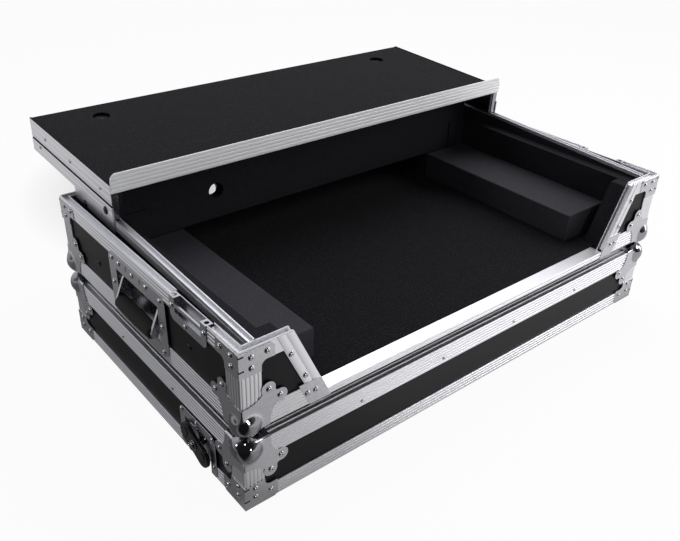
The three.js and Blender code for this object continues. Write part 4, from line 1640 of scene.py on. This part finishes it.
@dataclass
class Shell:
    """The laminated walls and the plain parts of the aluminium frames."""

    plan: CasePlan
    dresser: Dresser
    panels: tuple = (
        "lid_top_panel", "lid_left_panel", "lid_right_panel", "lid_front_panel", "lid_back_panel",
        "base_floor_panel", "base_left_panel", "base_right_panel", "front_left_return_panel",
        "front_right_return_panel", "shelf_board",
    )
    frames: tuple = ("lid_edge_frame", "lid_rim_frame", "base_edge_frame", "base_rim_frame")
    frame_rounding: float = 0.45
    wall_rounding: float = 0.25
    proud: float = 0.9
    port_across: float = -158.5
    port_level: float = 179.5
    port_radius: float = 16.5
    port_steps: int = 36
    overrun: float = 3.0
    smooth: float = 35.0

    def cable_port(self) -> None:
        """Bore the back wall for a cable, in line with the partition's hole, and line the bore."""
        node, width = "base_back_panel", self.wall_rounding
        wall = self.dresser.refined(node, LAMINATE, "black_laminate", width, 1, "ported")
        low, high = (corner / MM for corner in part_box(node))
        depth, r, step = high.y - low.y, self.port_radius, 360 / self.port_steps
        centre = Vector((self.port_across, low.y, self.port_level))
        place = local_frame(centre, X_AXIS, Z_AXIS, Y_AXIS)
        circle = arc((0, 0), r, 0, 360 - step, self.port_steps - 1)
        carve(wall, prism("port_cutter", circle, (-self.overrun, depth + self.overrun), place))
        profile = [
            (r - 0.1, 0), (r - 0.1, depth), (r + 2.6, depth), (r + 2.2, depth + 0.9),
            (r - 0.9, depth + 1.0), (r - 1.4, depth + 0.4), (r - 1.4, 0),
        ]
        grommet = turned("cable_port_grommet", profile, self.port_steps, place, self.smooth)
        self.dresser.dress(grommet, NYLON, "base", "black_plastic")

    def plate_braces(self, frame: Piece) -> None:
        """Give the faces that stand proud of the walls, the brace plates, their zinc finish.

        Args:
            frame: Frame of the wall.
        """
        frame.data.materials.append(ZINC_PLATE.material())
        plan = self.plan
        for polygon in frame.data.polygons:
            x, y, _ = polygon.center / MM
            if max(abs(x) - plan.half_width, plan.front - y, y - plan.rear) > self.proud:
                polygon.material_index = 1

    def build(self) -> None:
        """Finish the walls and round the edges of the frames."""
        for node in self.panels:
            self.dresser.paint(node, LAMINATE)
        slot, width = "satin_aluminium", self.frame_rounding
        for node in self.frames:
            self.plate_braces(self.dresser.refined(node, SATIN_EXTRUSION, slot, width))
        self.cable_port()


@dataclass
class Lining:
    """Foam blocks and needled felt inside the base."""

    dresser: Dresser
    ledges: tuple = ("left_foam_ledge", "right_foam_ledge")
    linings: tuple = ("left_side_lining", "right_side_lining", "cable_partition")
    foam_rounding: float = 1.6
    felt_rounding: float = 0.8

    def build(self) -> None:
        """Dress the foam, and lay the felt on the floor."""
        for node in (*self.ledges, *self.linings):
            finish = FOAM if node in self.ledges else LINING_FOAM
            pad = self.dresser.refined(node, finish, "dark_foam", self.foam_rounding, 3, "pad")
        node, width = "floor_carpet", self.felt_rounding
        felt = self.dresser.refined(node, FELT, "black_carpet", width, suffix="felt")
        low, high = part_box(node)


# Laptop shelf


@dataclass
class LaptopShelf:
    """The sliding shelf and its rails: felted board, fluted lip, side brackets and glides."""

    dresser: Dresser
    joints: list
    side: float = 380.3
    front: float = 319.0
    depth: float = 283.0
    wall: float = 1.5
    lip_foot: float = 44.9
    lip_top: float = 73.0
    lip_face: float = 2.0
    lip_leg: float = 22.0
    lip_leg_top: float = 46.2
    lip_corner: float = 10.0
    lip_lands: int = 5
    lip_rounding: float = 0.12
    mask_margins: tuple = (2.0, 0.001, 5.0)
    flange_width: float = 9.5
    flange_thickness: float = 1.3
    flange_rise: tuple = (5.5, 44.5)
    flange_rounding: float = 0.25
    bracket_rounding: float = 0.2
    glide_rounding: float = 0.5
    felt_rounding: float = 0.7
    felt_lap: float = 0.4
    felt_turn: float = 2.3
    felt_edge_rise: tuple = (55.4, 56.2)
    felt_edge_rounding: float = 0.3
    trim_rise: tuple = (26.2, 55.1)
    trim_along: tuple = (321.5, 601.7)
    trim_lands: int = 3
    plate_rise: tuple = (4.9, 24.2)
    plate_along: tuple = (319.4, 598.6)
    plate_lands: int = 2
    crest: float = 0.6
    valley: float = 0.1
    sink: float = 0.3
    shoulders: tuple = (0.05, 0.7)
    smooth: float = 25.0
    joint_across: tuple = (380.1, 382.15)
    joint_along: tuple = (319.3, 598.8)
    joint_rise: tuple = (24.3, 25.8)
    strip_and_seal_rounding: float = 0.2
    hole_across: float = 286.0
    hole_along: float = 555.0
    hole_radius: float = 13.4
    seal_level: float = 49.0
    seal_thickness: float = 1.2
    seal_eye: float = 2.6
    seal_leaves: int = 6
    seal_slit: float = 3.0
    rail_height: float = 6.0
    rail_length: float = 449.0
    rail_rounding: float = 0.3
    rail_grooves: tuple = ((372.2, 373.6), (376.4, 378.0))
    groove_depth: float = 0.6
    groove_along: tuple = (-2.0, 455.0)
    leg_across: tuple = (379.82, 380.15)
    leg_rise: tuple = (-10.0, 0.6)
    leg_rounding: float = 0.08
    trim_rivets: tuple = ((355.0, 40.0), (454.0, 40.0), (546.0, 40.0))
    plate_rivets: tuple = ((568.0, 19.5),)
    plate_bolts: tuple = ((340.0, 13.0),)
    rail_bolts: tuple = ((413.0, -9.5),)

    def frame(self) -> Matrix:
        """The inclined frame (across, along, up) of the rails, from the slide joint's axis.

        Returns:
            The matrix from the rails to the scene.
        """
        axis = next(j["axis"] for j in self.joints if j["name"] == "shelf_slide")
        along = -Vector(axis).normalized()
        up = X_AXIS.cross(along)
        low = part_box("left_rail")[0] / MM
        origin = Vector((0, low.y - self.rail_height * up.y, low.z))
        return local_frame(origin, X_AXIS, along, up)

    def slab(self, name: str, side: int, across: Range, along: Range, rise: Range) -> Piece:
        """A block at one side of the shelf.

        Args:
            name: Name of the block.
            side: -1 on the left or 1 on the right.
            across: Its two distances from the middle.
            along: Its range along the rails.
            rise: Its range above their foot.

        Returns:
            The block.
        """
        low, high = sorted(side * distance for distance in across)
        return block(name, (low, high), along, rise, self.frame())

    def lip(self) -> Piece:
        """The fluted lip with rounded upper corners.

        Returns:
            The lip.
        """
        frame = self.frame()
        y, foot, top, leg = self.front, self.lip_foot, self.lip_top, self.front + self.lip_leg
        back, pitch = y + self.lip_face, (top - foot) / self.lip_lands
        outline = []
        for i in range(self.lip_lands):
            low, high = foot + i * pitch, foot + (i + 1) * pitch
            outline += [
                (y + 0.5, low), (y + 0.5, low + 0.7), (y + 0.15, low + 1.1), (y, low + 1.7),
                (y, high - 0.9), (y + 0.15, high - 0.35),
            ]
        outline += [
            (y + 0.7, top), (back, top - 0.4), (back, self.lip_leg_top), (leg, self.lip_leg_top),
            (leg, foot),
        ]
        span, place = (-self.side, self.side), frame @ with_axes(Y_AXIS, Z_AXIS, X_AXIS)
        lip = prism("shelf_lip_extrusion", outline, span, place)
        r, (below, above, aside) = self.lip_corner, self.mask_margins
        mask = rounded(span, (foot - below, top + above), (0, 0, r, r))
        place = frame @ with_axes(X_AXIS, Z_AXIS, Y_AXIS)
        carve(lip, prism("lip_mask", mask, (y - aside, leg + aside), place), "INTERSECT")
        return soften(lip, self.lip_rounding, 1, 40)

    def turned_edges(self) -> list:
        """The felt's edges in their finish, lapped over the side trims.

        Returns:
            The edges, left and right.
        """
        across = (self.side - self.felt_turn, self.side + self.felt_lap)
        along = (self.front + self.lip_face + self.felt_lap, self.front + self.depth)
        edges = []
        for side in SIDES.values():
            edge = self.slab("felt_edge", side, across, along, self.felt_edge_rise)
            soften(edge, self.felt_edge_rounding)
            edge.data.materials.append(FELT.material())
            edges.append(edge)
        return edges

    def fluted(self, rise: Range, lands: int, span: Range, out: float) -> list:
        """Shallow lands along both outer sides of the shelf.

        Args:
            rise: Their lower and upper edge.
            lands: Number of lands.
            span: Where they start and end along the rails.
            out: How far the carrying face stands from the middle.

        Returns:
            The strips, left and right.
        """
        low, high = rise
        pitch = (high - low) / lands
        valley, crest = out + self.valley, out + self.crest
        near, far = self.shoulders
        face = [(low, out - self.sink)]
        for i in range(lands):
            start, end = low + i * pitch, low + (i + 1) * pitch
            face += [(start + near, valley), (start + far, crest)]
            face += [(end - far, crest), (end - near, valley)]
        face.append((high, out - self.sink))
        strips = []
        for side in SIDES.values():
            place = self.frame() @ with_axes(Z_AXIS, X_AXIS * side, Y_AXIS)
            strips.append(prism("side_strip", face, span, place))
            shade_smooth(self.smooth)
        return strips

    def seal_leaves_at(self, side: int) -> list:
        """The leaves of the slit rubber seal in the cable hole at one side.

        Args:
            side: -1 on the left or 1 on the right.

        Returns:
            The leaves.
        """
        spot = (side * self.hole_across, self.hole_along, self.seal_level)
        place = self.frame() @ Matrix.Translation(spot)
        step, half_slit = 360 / self.seal_leaves, self.seal_slit / 2
        leaves = []
        for i in range(self.seal_leaves):
            start, end = i * step + half_slit, (i + 1) * step - half_slit
            outer = arc((0, 0), self.hole_radius, start, end, 8)
            inner = arc((0, 0), self.seal_eye, end, start, 3)
            leaves.append(prism("seal_leaf", [*outer, *inner], (0.0, self.seal_thickness), place))
        return leaves

    def build_rail(self, name: str, side: int) -> None:
        """Round a rail's edges and draw the two grooves along its top.

        Args:
            name: Left or right.
            side: -1 on the left or 1 on the right.
        """
        slot, width = "satin_aluminium", self.rail_rounding
        rail = self.dresser.refined(f"{name}_rail", MILL_EXTRUSION, slot, width, suffix="grooved")
        rise = (self.rail_height - self.groove_depth, self.rail_height + 1.0)
        for across in self.rail_grooves:
            carve(rail, self.slab("rail_groove", side, across, self.groove_along, rise))

    def build_carpet(self) -> None:
        """Lay the felt on the board, with its edges lapped over the trims."""
        width = self.felt_rounding
        felt = self.dresser.refined("shelf_carpet", FELT, "black_carpet", width, suffix="felt")
        felt = joined(felt.name, [felt, *self.turned_edges()])

    def build(self) -> None:
        """Dress the shelf and its rails."""
        dresser, body, slot = self.dresser, "laptop_shelf", "satin_aluminium"
        # The lip takes the paler finish, which is a painted highlight.
        dresser.dress(self.lip(), HIGHLIGHT_EXTRUSION, body, slot, ["shelf_lip"])
        self.build_carpet()
        for name, side in SIDES.items():
            self.build_rail(name, side)
            width = self.bracket_rounding
            dresser.refined(f"{name}_shelf_bracket", SATIN_EXTRUSION, slot, width)
            dresser.refined(f"{name}_shelf_glide", NYLON, "black_plastic", self.glide_rounding)
        start, across = self.front + self.lip_face, (self.side - self.flange_width, self.side)
        along = (start, start + self.flange_thickness)
        for name, side in SIDES.items():
            # Bright folded flanges close the front ends of the brackets.
            flange = self.slab(f"{name}_bracket_flange", side, across, along, self.flange_rise)
            dresser.dress(soften(flange, self.flange_rounding), BRIGHT_SHEET, body, slot)
        trims = self.fluted(self.trim_rise, self.trim_lands, self.trim_along, self.side)
        out = self.side + self.wall
        plates = self.fluted(self.plate_rise, self.plate_lands, self.plate_along, out)
        dresser.dress(joined("shelf_side_flutes", trims + plates), SATIN_EXTRUSION, body, slot)
        # Black strips on the lap of each side plate are painted shade in the joint there.
        sides = SIDES.values()
        place = self.joint_across, self.joint_along, self.joint_rise
        seals = joined("shelf_joint_shade_strips", (self.slab("joint_shade_strip", s, *place) for s in sides))
        dresser.dress(soften(seals, self.strip_and_seal_rounding, 1), RUBBER_AND_SHADE_STRIP, body, "black_rubber")
        place = self.leg_across, (0.0, self.rail_length), self.leg_rise
        legs = joined("rail_side_legs", (self.slab("rail_leg", s, *place) for s in sides))
        dresser.dress(soften(legs, self.leg_rounding, 1), MILL_EXTRUSION, "base", slot)
        seals = joined("cable_hole_seals", (leaf for s in sides for leaf in self.seal_leaves_at(s)))
        dresser.dress(soften(seals, self.strip_and_seal_rounding, 1), RUBBER_AND_SHADE_STRIP, body, "black_rubber")

    def side_spots(self, places: Outline, out: float) -> list[Spot]:
        """The same places on both outer sides of the shelf.

        Args:
            places: Distance along the rails from their front, and height above their foot.
            out: How far the face stands from the middle.

        Returns:
            Spots for rivets or bolts.
        """
        turns = [with_axes(Y_AXIS, Z_AXIS, X_AXIS * side) for side in SIDES.values()]
        return [(self.frame() @ turn, along, up, out) for turn in turns for along, up in places]

    def rivet_spots(self) -> list[Spot]:
        """Where the trims and the brackets are riveted."""
        trim, plate = self.side + self.crest, self.side + self.wall + self.crest
        return self.side_spots(self.trim_rivets, trim) + self.side_spots(self.plate_rivets, plate)

    def bolt_spots(self) -> list[Spot]:
        """Where the brackets and the rails are bolted."""
        plate, rail = self.side + self.wall + self.crest, self.side + self.wall
        return self.side_spots(self.plate_bolts, plate) + self.side_spots(self.rail_bolts, rail)


# Rivets, screws and bolts


class Head(Enum):
    """The heads of fasteners, by their radius and the height of their dome."""

    RIVET = (4.0, 2.1)
    EDGE_RIVET = (3.0, 1.4)
    TRIM_RIVET = (3.4, 1.3)
    PANEL_SCREW = (4.5, 1.6)
    SHELF_BOLT = (6.0, 2.2)


@dataclass
class Fasteners:
    """Every fastener that shows: a low dome with a dimple, as a rivet's broken stem leaves it."""

    plan: CasePlan
    dresser: Dresser
    steps: int = 16
    smooth: float = 45.0
    sink: float = 0.2
    dome: tuple = (
        (1.0, 0.12), (0.93, 0.38), (0.8, 0.63), (0.62, 0.82), (0.45, 0.94), (0.32, 1.0),
        (0.27, 0.92), (0.22, 0.5), (0.0, 0.45),
    )
    edge_drop: float = 21.0
    edge_from_end: float = 166.5
    edge_from_middle: tuple = (-221.5, -74.0, 74.0, 221.5)
    edge_out: float = 0.3
    slanted: tuple = ((68.0, 85.0), (88.0, 46.0))
    slanted_out: float = 0.5
    joint_plate: tuple = ((90.5, 18.0), (102.5, 18.0))
    joint_plate_out: float = 1.2
    panel: tuple = ((112.5, 56.7), (364.0, 53.7))
    panel_out: float = -1.8

    def set_in(
        self, name: str, head: Head, finish: Finish, body: str, slot: str, spots: Iterable[Spot]
    ) -> None:
        """Set fasteners in walls and dress them.

        Args:
            name: Name of the joined fasteners.
            head: Their head.
            finish: Their finish.
            body: The body that they ride on.
            slot: The record's material slot.
            spots: For each, a frame (along, up, out) and the three places in it.
        """
        radius, height = head.value
        profile = [(0, -self.sink), (radius, -self.sink)]
        profile += [(u * radius, v * height) for u, v in self.dome]
        model = turned("rivet_head", profile, self.steps, AS_DRAWN, self.smooth)
        copies = [
            copied(model, f"{name}_{i}", frame @ Matrix.Translation(spot))
            for i, (frame, *spot) in enumerate(spots)
        ]
        bpy.data.objects.remove(model)
        self.dresser.dress(joined(name, copies), finish, body, slot)

    def lid_edge_spots(self) -> list[Spot]:
        """Where the edge angles of the lid are riveted.

        Returns:
            Spots for rivets.
        """
        level, inset = self.plan.height(Half.LID) - self.edge_drop, self.edge_from_end
        side, middle = self.plan.length(Wall.LEFT), self.plan.half_width
        on_sides = (inset, side - inset)
        on_ends = [middle + shift for shift in self.edge_from_middle]
        rows = {Wall.LEFT: on_sides, Wall.RIGHT: on_sides, Wall.FRONT: on_ends, Wall.BACK: on_ends}
        spots = []
        for wall, places in rows.items():
            frame = self.plan.on_wall(wall, Half.LID)
            spots += [(frame, along, level, self.edge_out) for along in places]
        return spots

    def front_spots(self) -> list[Spot]:
        """Where the slanted strips and the joint plates are riveted, on both front returns.

        Returns:
            Spots for rivets.
        """
        frame, width = self.plan.on_wall(Wall.FRONT, Half.BASE), self.plan.length(Wall.FRONT)
        rows = ((self.slanted, self.slanted_out), (self.joint_plate, self.joint_plate_out))
        spots = []
        for places, out in rows:
            spots += [(frame, u, v, out) for u, v in places]
            spots += [(frame, width - u, v, out) for u, v in places]
        return spots

    def panel_spots(self) -> list[Spot]:
        """Where screws come through the side panels of the base."""
        frames = [self.plan.on_wall(wall, Half.BASE) for wall in (Wall.LEFT, Wall.RIGHT)]
        return [(frame, u, v, self.panel_out) for frame in frames for u, v in self.panel]

    def build(self, latches: TwistLatches, handles: SideHandles, shelf: LaptopShelf) -> None:
        """Set every rivet, screw and bolt that shows.

        Args:
            latches: The latches.
            handles: The handles.
            shelf: The laptop shelf.
        """
        braces, corners = Braces(self.plan, self.dresser), BallCorners(self.plan, self.dresser)
        on_half = {
            half: [
                *braces.rivet_spots(half), *corners.rivet_spots(half),
                *(self.front_spots() if half is Half.BASE else []), *latches.rivet_spots(half),
            ]
            for half in Half
        }
        zinc, black = (ZINC_PLATE, "zinc_plate"), (BLACK_STEEL_AND_SLOT_SHADE, "black_plastic")
        base_spots = on_half[Half.BASE] + handles.rivet_spots()
        for name, head, (finish, slot), body, spots in (
            ("lid_rivets", Head.RIVET, zinc, "lid", on_half[Half.LID]),
            ("lid_edge_rivets", Head.EDGE_RIVET, zinc, "lid", self.lid_edge_spots()),
            ("base_rivets", Head.RIVET, zinc, "base", base_spots),
            ("panel_screws", Head.PANEL_SCREW, black, "base", self.panel_spots()),
            ("shelf_rivets", Head.TRIM_RIVET, zinc, "laptop_shelf", shelf.rivet_spots()),
            ("shelf_bolts", Head.SHELF_BOLT, black, "laptop_shelf", shelf.bolt_spots()),
        ):
            self.set_in(name, head, finish, body, slot, spots)
        braces.build_slot_shades()


# Studio


@dataclass(frozen=True)
class Ramp:
    """A level that changes smoothly along a direction.

    Toward is that direction. Ends say where along it the change starts and stops, and levels are
    the level before the first end and after the second.
    """

    toward: tuple
    ends: tuple
    levels: tuple

    def level_at(self, tree: bpy.types.NodeTree, place: Any) -> Any:
        """The socket of the level at a place or in a direction, which is a socket itself.

        Args:
            tree: The node tree.
            place: Socket of the place or the direction.

        Returns:
            The socket.
        """
        product = {"operation": "DOT_PRODUCT"}
        along = add_node(tree, "ShaderNodeVectorMath", product, place, self.toward)
        settings = {
            "interpolation_type": "SMOOTHSTEP",
            "From Min": self.ends[0], "From Max": self.ends[1],
            "To Min": self.levels[0], "To Max": self.levels[1],
        }
        ramp = add_node(tree, "ShaderNodeMapRange", settings, along.outputs["Value"])
        return ramp.outputs["Result"]


@dataclass
class Studio:
    """Pale floor, soft lamps, even surroundings and the camera. Sizes are in metres."""

    eye: tuple = (-0.73445, -0.86316, 0.7228)
    azimuth: float = 39.97
    elevation: float = -30.69
    roll: float = 1.78
    lens: float = 40.80
    sensor: float = 36.0
    lamps: tuple = (
        ("overhead_softbox", (0.95, 0.45, 2.1), 1.5, 20.0),
        ("right_softbox", (1.7, -1.3, 1.3), 0.9, 14.0),
        ("low_right_lamp", (1.5, -0.75, 0.3), 0.5, 3.0),
        ("low_front_lamp", (-0.25, -1.7, 0.4), 0.18, 2.0),
        ("low_left_lamp", (-1.5, 0.25, 0.6), 0.18, 2.0),
        ("key_spot", (-1.05, -1.1, 1.9), 0.25, 3.0),
    )
    lamp_target: tuple = (0.0, 0.0, 0.12)
    floor_half: float = 12.0
    paper: str = "F2F2F2"
    room: str = "FAFAFF"
    in_front: Ramp = Ramp((0.0, -1.0, 0.0), (0.24, 0.36), (0.0, 1.0))
    rising: Ramp = Ramp((1.0, 0.0, 0.0), (-0.27, -0.08), (0.56, 0.92))
    behind: Ramp = Ramp((-0.3, 0.95, 0.0), (0.15, 1.15), (0.15, 0.64))
    to_side: Ramp = Ramp((1.0, 0.0, 0.0), (0.4, 0.75), (0.0, 0.55))
    past_side: Ramp = Ramp((1.0, 0.0, 0.0), (-0.46, -0.32), (0.03, 1.0))
    past_front: Ramp = Ramp((0.0, 1.0, 0.0), (-0.37, -0.29), (0.03, 1.0))
    to_backdrop: Ramp = Ramp((0.25, 0.83, 0.50), (0.1, 0.85), (0.25, 0.92))
    to_camera: Ramp = Ramp((-0.553, -0.659, 0.510), (0.05, 0.65), (1.0, 0.1))
    shadow_centre: tuple = (0.1, 0.55, 0.0)
    shadow_edge: tuple = (0.2, 0.45)
    whiteness: float = 0.94

    def camera(self) -> None:
        """Stand the camera where the photograph was taken from."""
        az, el, roll = (math.radians(v) for v in (self.azimuth, self.elevation, self.roll))
        forward = Vector((math.sin(az) * math.cos(el), math.cos(az) * math.cos(el), math.sin(el)))
        level = Vector((math.cos(az), -math.sin(az), 0))
        above = level.cross(forward)
        right = level * math.cos(roll) + above * math.sin(roll)
        up = above * math.cos(roll) - level * math.sin(roll)
        data = bpy.data.cameras.new("photograph_camera")
        data.lens = self.lens
        data.sensor_width = self.sensor
        camera = bpy.data.objects.new("photograph_camera", data)
        rows = [[right[i], up[i], -forward[i], self.eye[i]] for i in range(3)]
        camera.matrix_world = Matrix((*rows, (0, 0, 0, 1)))
        bpy.context.scene.collection.objects.link(camera)
        bpy.context.scene.camera = camera

    def lamp(self, name: str, place: tuple, size: float, watts: float) -> None:
        """Hang a square soft box that points at the case.

        Args:
            name: Name of the lamp.
            place: Where it hangs.
            size: Its side, in metres.
            watts: Its power.
        """
        data = bpy.data.lights.new(name, "AREA")
        data.energy = watts
        data.size = size
        lamp = bpy.data.objects.new(name, data)
        lamp.location = place
        towards = Vector(self.lamp_target) - Vector(place)
        lamp.rotation_euler = towards.to_track_quat("-Z", "Y").to_euler()
        lamp.visible_camera = False
        bpy.context.scene.collection.objects.link(lamp)

    def glow(self, tree: bpy.types.NodeTree, place: Any) -> Any:
        """The socket of how bright the floor looks in what mirrors it.

        Args:
            tree: The floor's node tree.
            place: Socket of the place on the floor.

        Returns:
            The socket: bright in front, to the side and behind, and dark near the left corner.
        """
        ramps = (
            self.in_front, self.rising, self.behind, self.to_side, self.past_side, self.past_front
        )
        in_front, rising, behind, to_side, past_side, past_front = (
            ramp.level_at(tree, place) for ramp in ramps
        )
        product, larger = {"operation": "MULTIPLY"}, {"operation": "MAXIMUM"}
        front = add_node(tree, "ShaderNodeMath", product, in_front, rising).outputs[0]
        ends = add_node(tree, "ShaderNodeMath", larger, front, behind).outputs[0]
        level = add_node(tree, "ShaderNodeMath", larger, ends, to_side).outputs[0]
        open_floor = add_node(tree, "ShaderNodeMath", larger, past_side, past_front).outputs[0]
        return add_node(tree, "ShaderNodeMath", product, level, open_floor).outputs[0]

    def floor(self) -> None:
        """Lay the pale floor, which keeps the shadow and looks uneven in what mirrors it."""
        bpy.ops.object.select_all(action="DESELECT")
        bpy.ops.mesh.primitive_plane_add(size=2 * self.floor_half)
        floor = bpy.context.active_object
        floor.name = "studio_floor"
        made = bpy.data.materials.new("white_paper")
        made.use_nodes = True
        tree = made.node_tree
        paper = tree.nodes["Principled BSDF"]
        paper.inputs["Base Color"].default_value = linear(self.paper)
        paper.inputs["Roughness"].default_value = 1.0
        rays = add_node(tree, "ShaderNodeLightPath").outputs
        place = add_node(tree, "ShaderNodeTexCoord").outputs["Object"]
        colour = {"Color": linear("FFFFFF")}
        glow = add_node(tree, "ShaderNodeEmission", colour, Strength=self.glow(tree, place))
        white = add_node(tree, "ShaderNodeEmission", {**colour, "Strength": 1.0})
        either = {"operation": "MAXIMUM"}
        glossy, through = rays["Is Glossy Ray"], rays["Is Transmission Ray"]
        mirrored = add_node(tree, "ShaderNodeMath", either, glossy, through).outputs[0]
        distance = {"operation": "DISTANCE"}
        from_shadow = add_node(tree, "ShaderNodeVectorMath", distance, place, self.shadow_centre)
        near, far = self.shadow_edge
        fade = {"From Min": near, "From Max": far, "To Min": 0.0, "To Max": self.whiteness}
        shade = add_node(tree, "ShaderNodeMapRange", fade, from_shadow.outputs["Value"]).outputs[0]
        both = {"operation": "MULTIPLY"}
        seen = add_node(tree, "ShaderNodeMath", both, rays["Is Camera Ray"], shade).outputs[0]
        plain, bright, seen_white = (shader.outputs[0] for shader in (paper, glow, white))
        real = add_node(tree, "ShaderNodeMixShader", None, mirrored, plain, bright).outputs[0]
        surface = add_node(tree, "ShaderNodeMixShader", None, seen, real, seen_white)
        tree.links.new(surface.outputs[0], tree.nodes["Material Output"].inputs["Surface"])
        floor.data.materials.append(made)

    def surroundings(self) -> None:
        """A grey room, bright behind the object, dark behind the camera and white where seen."""
        world = bpy.data.worlds.new("studio_room")
        world.use_nodes = True
        bpy.context.scene.world = world
        tree = world.node_tree
        room = tree.nodes["Background"]
        direction = add_node(tree, "ShaderNodeTexCoord").outputs["Generated"]
        bright, dark = (
            ramp.level_at(tree, direction) for ramp in (self.to_backdrop, self.to_camera)
        )
        level = add_node(tree, "ShaderNodeMath", {"operation": "MULTIPLY"}, bright, dark)
        tree.links.new(level.outputs[0], room.inputs["Strength"])
        room.inputs["Color"].default_value = linear(self.room)
        seen = add_node(tree, "ShaderNodeLightPath").outputs["Is Camera Ray"]
        plain = {"Color": linear("FFFFFF"), "Strength": 1.0}
        shaders = room.outputs[0], add_node(tree, "ShaderNodeBackground", plain).outputs[0]
        surface = add_node(tree, "ShaderNodeMixShader", None, seen, *shaders)
        tree.links.new(surface.outputs[0], tree.nodes["World Output"].inputs["Surface"])

    def build(self) -> None:
        """Set up the studio."""
        self.camera()
        self.floor()
        self.surroundings()
        for lamp in self.lamps:
            self.lamp(*lamp)
        bpy.context.scene.view_settings.view_transform = "Standard"


def main() -> None:
    """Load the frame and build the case's looks in order."""
    logging.basicConfig(level=logging.INFO, format="%(message)s")
    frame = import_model()
    plan = CasePlan.read()
    dresser = Dresser(frame["nodes"])
    latches = TwistLatches(plan, dresser)
    handles = SideHandles(plan, dresser)
    shelf = LaptopShelf(dresser, frame["joints"])
    Shell(plan, dresser).build()
    angles = FlutedAngles(plan, dresser)
    angles.build_lid(*latches.ranges(latches.dish_width))
    angles.build_base(*latches.ranges(latches.keep_width), handles.spans())
    BallCorners(plan, dresser).build()
    latches.build()
    handles.build()
    Lining(dresser).build()
    shelf.build()
    Fasteners(plan, dresser).build(latches, handles, shelf)
    Studio().build()
    log.info("%d pieces dressed", dresser.count)


if __name__ == "__main__":
    main()
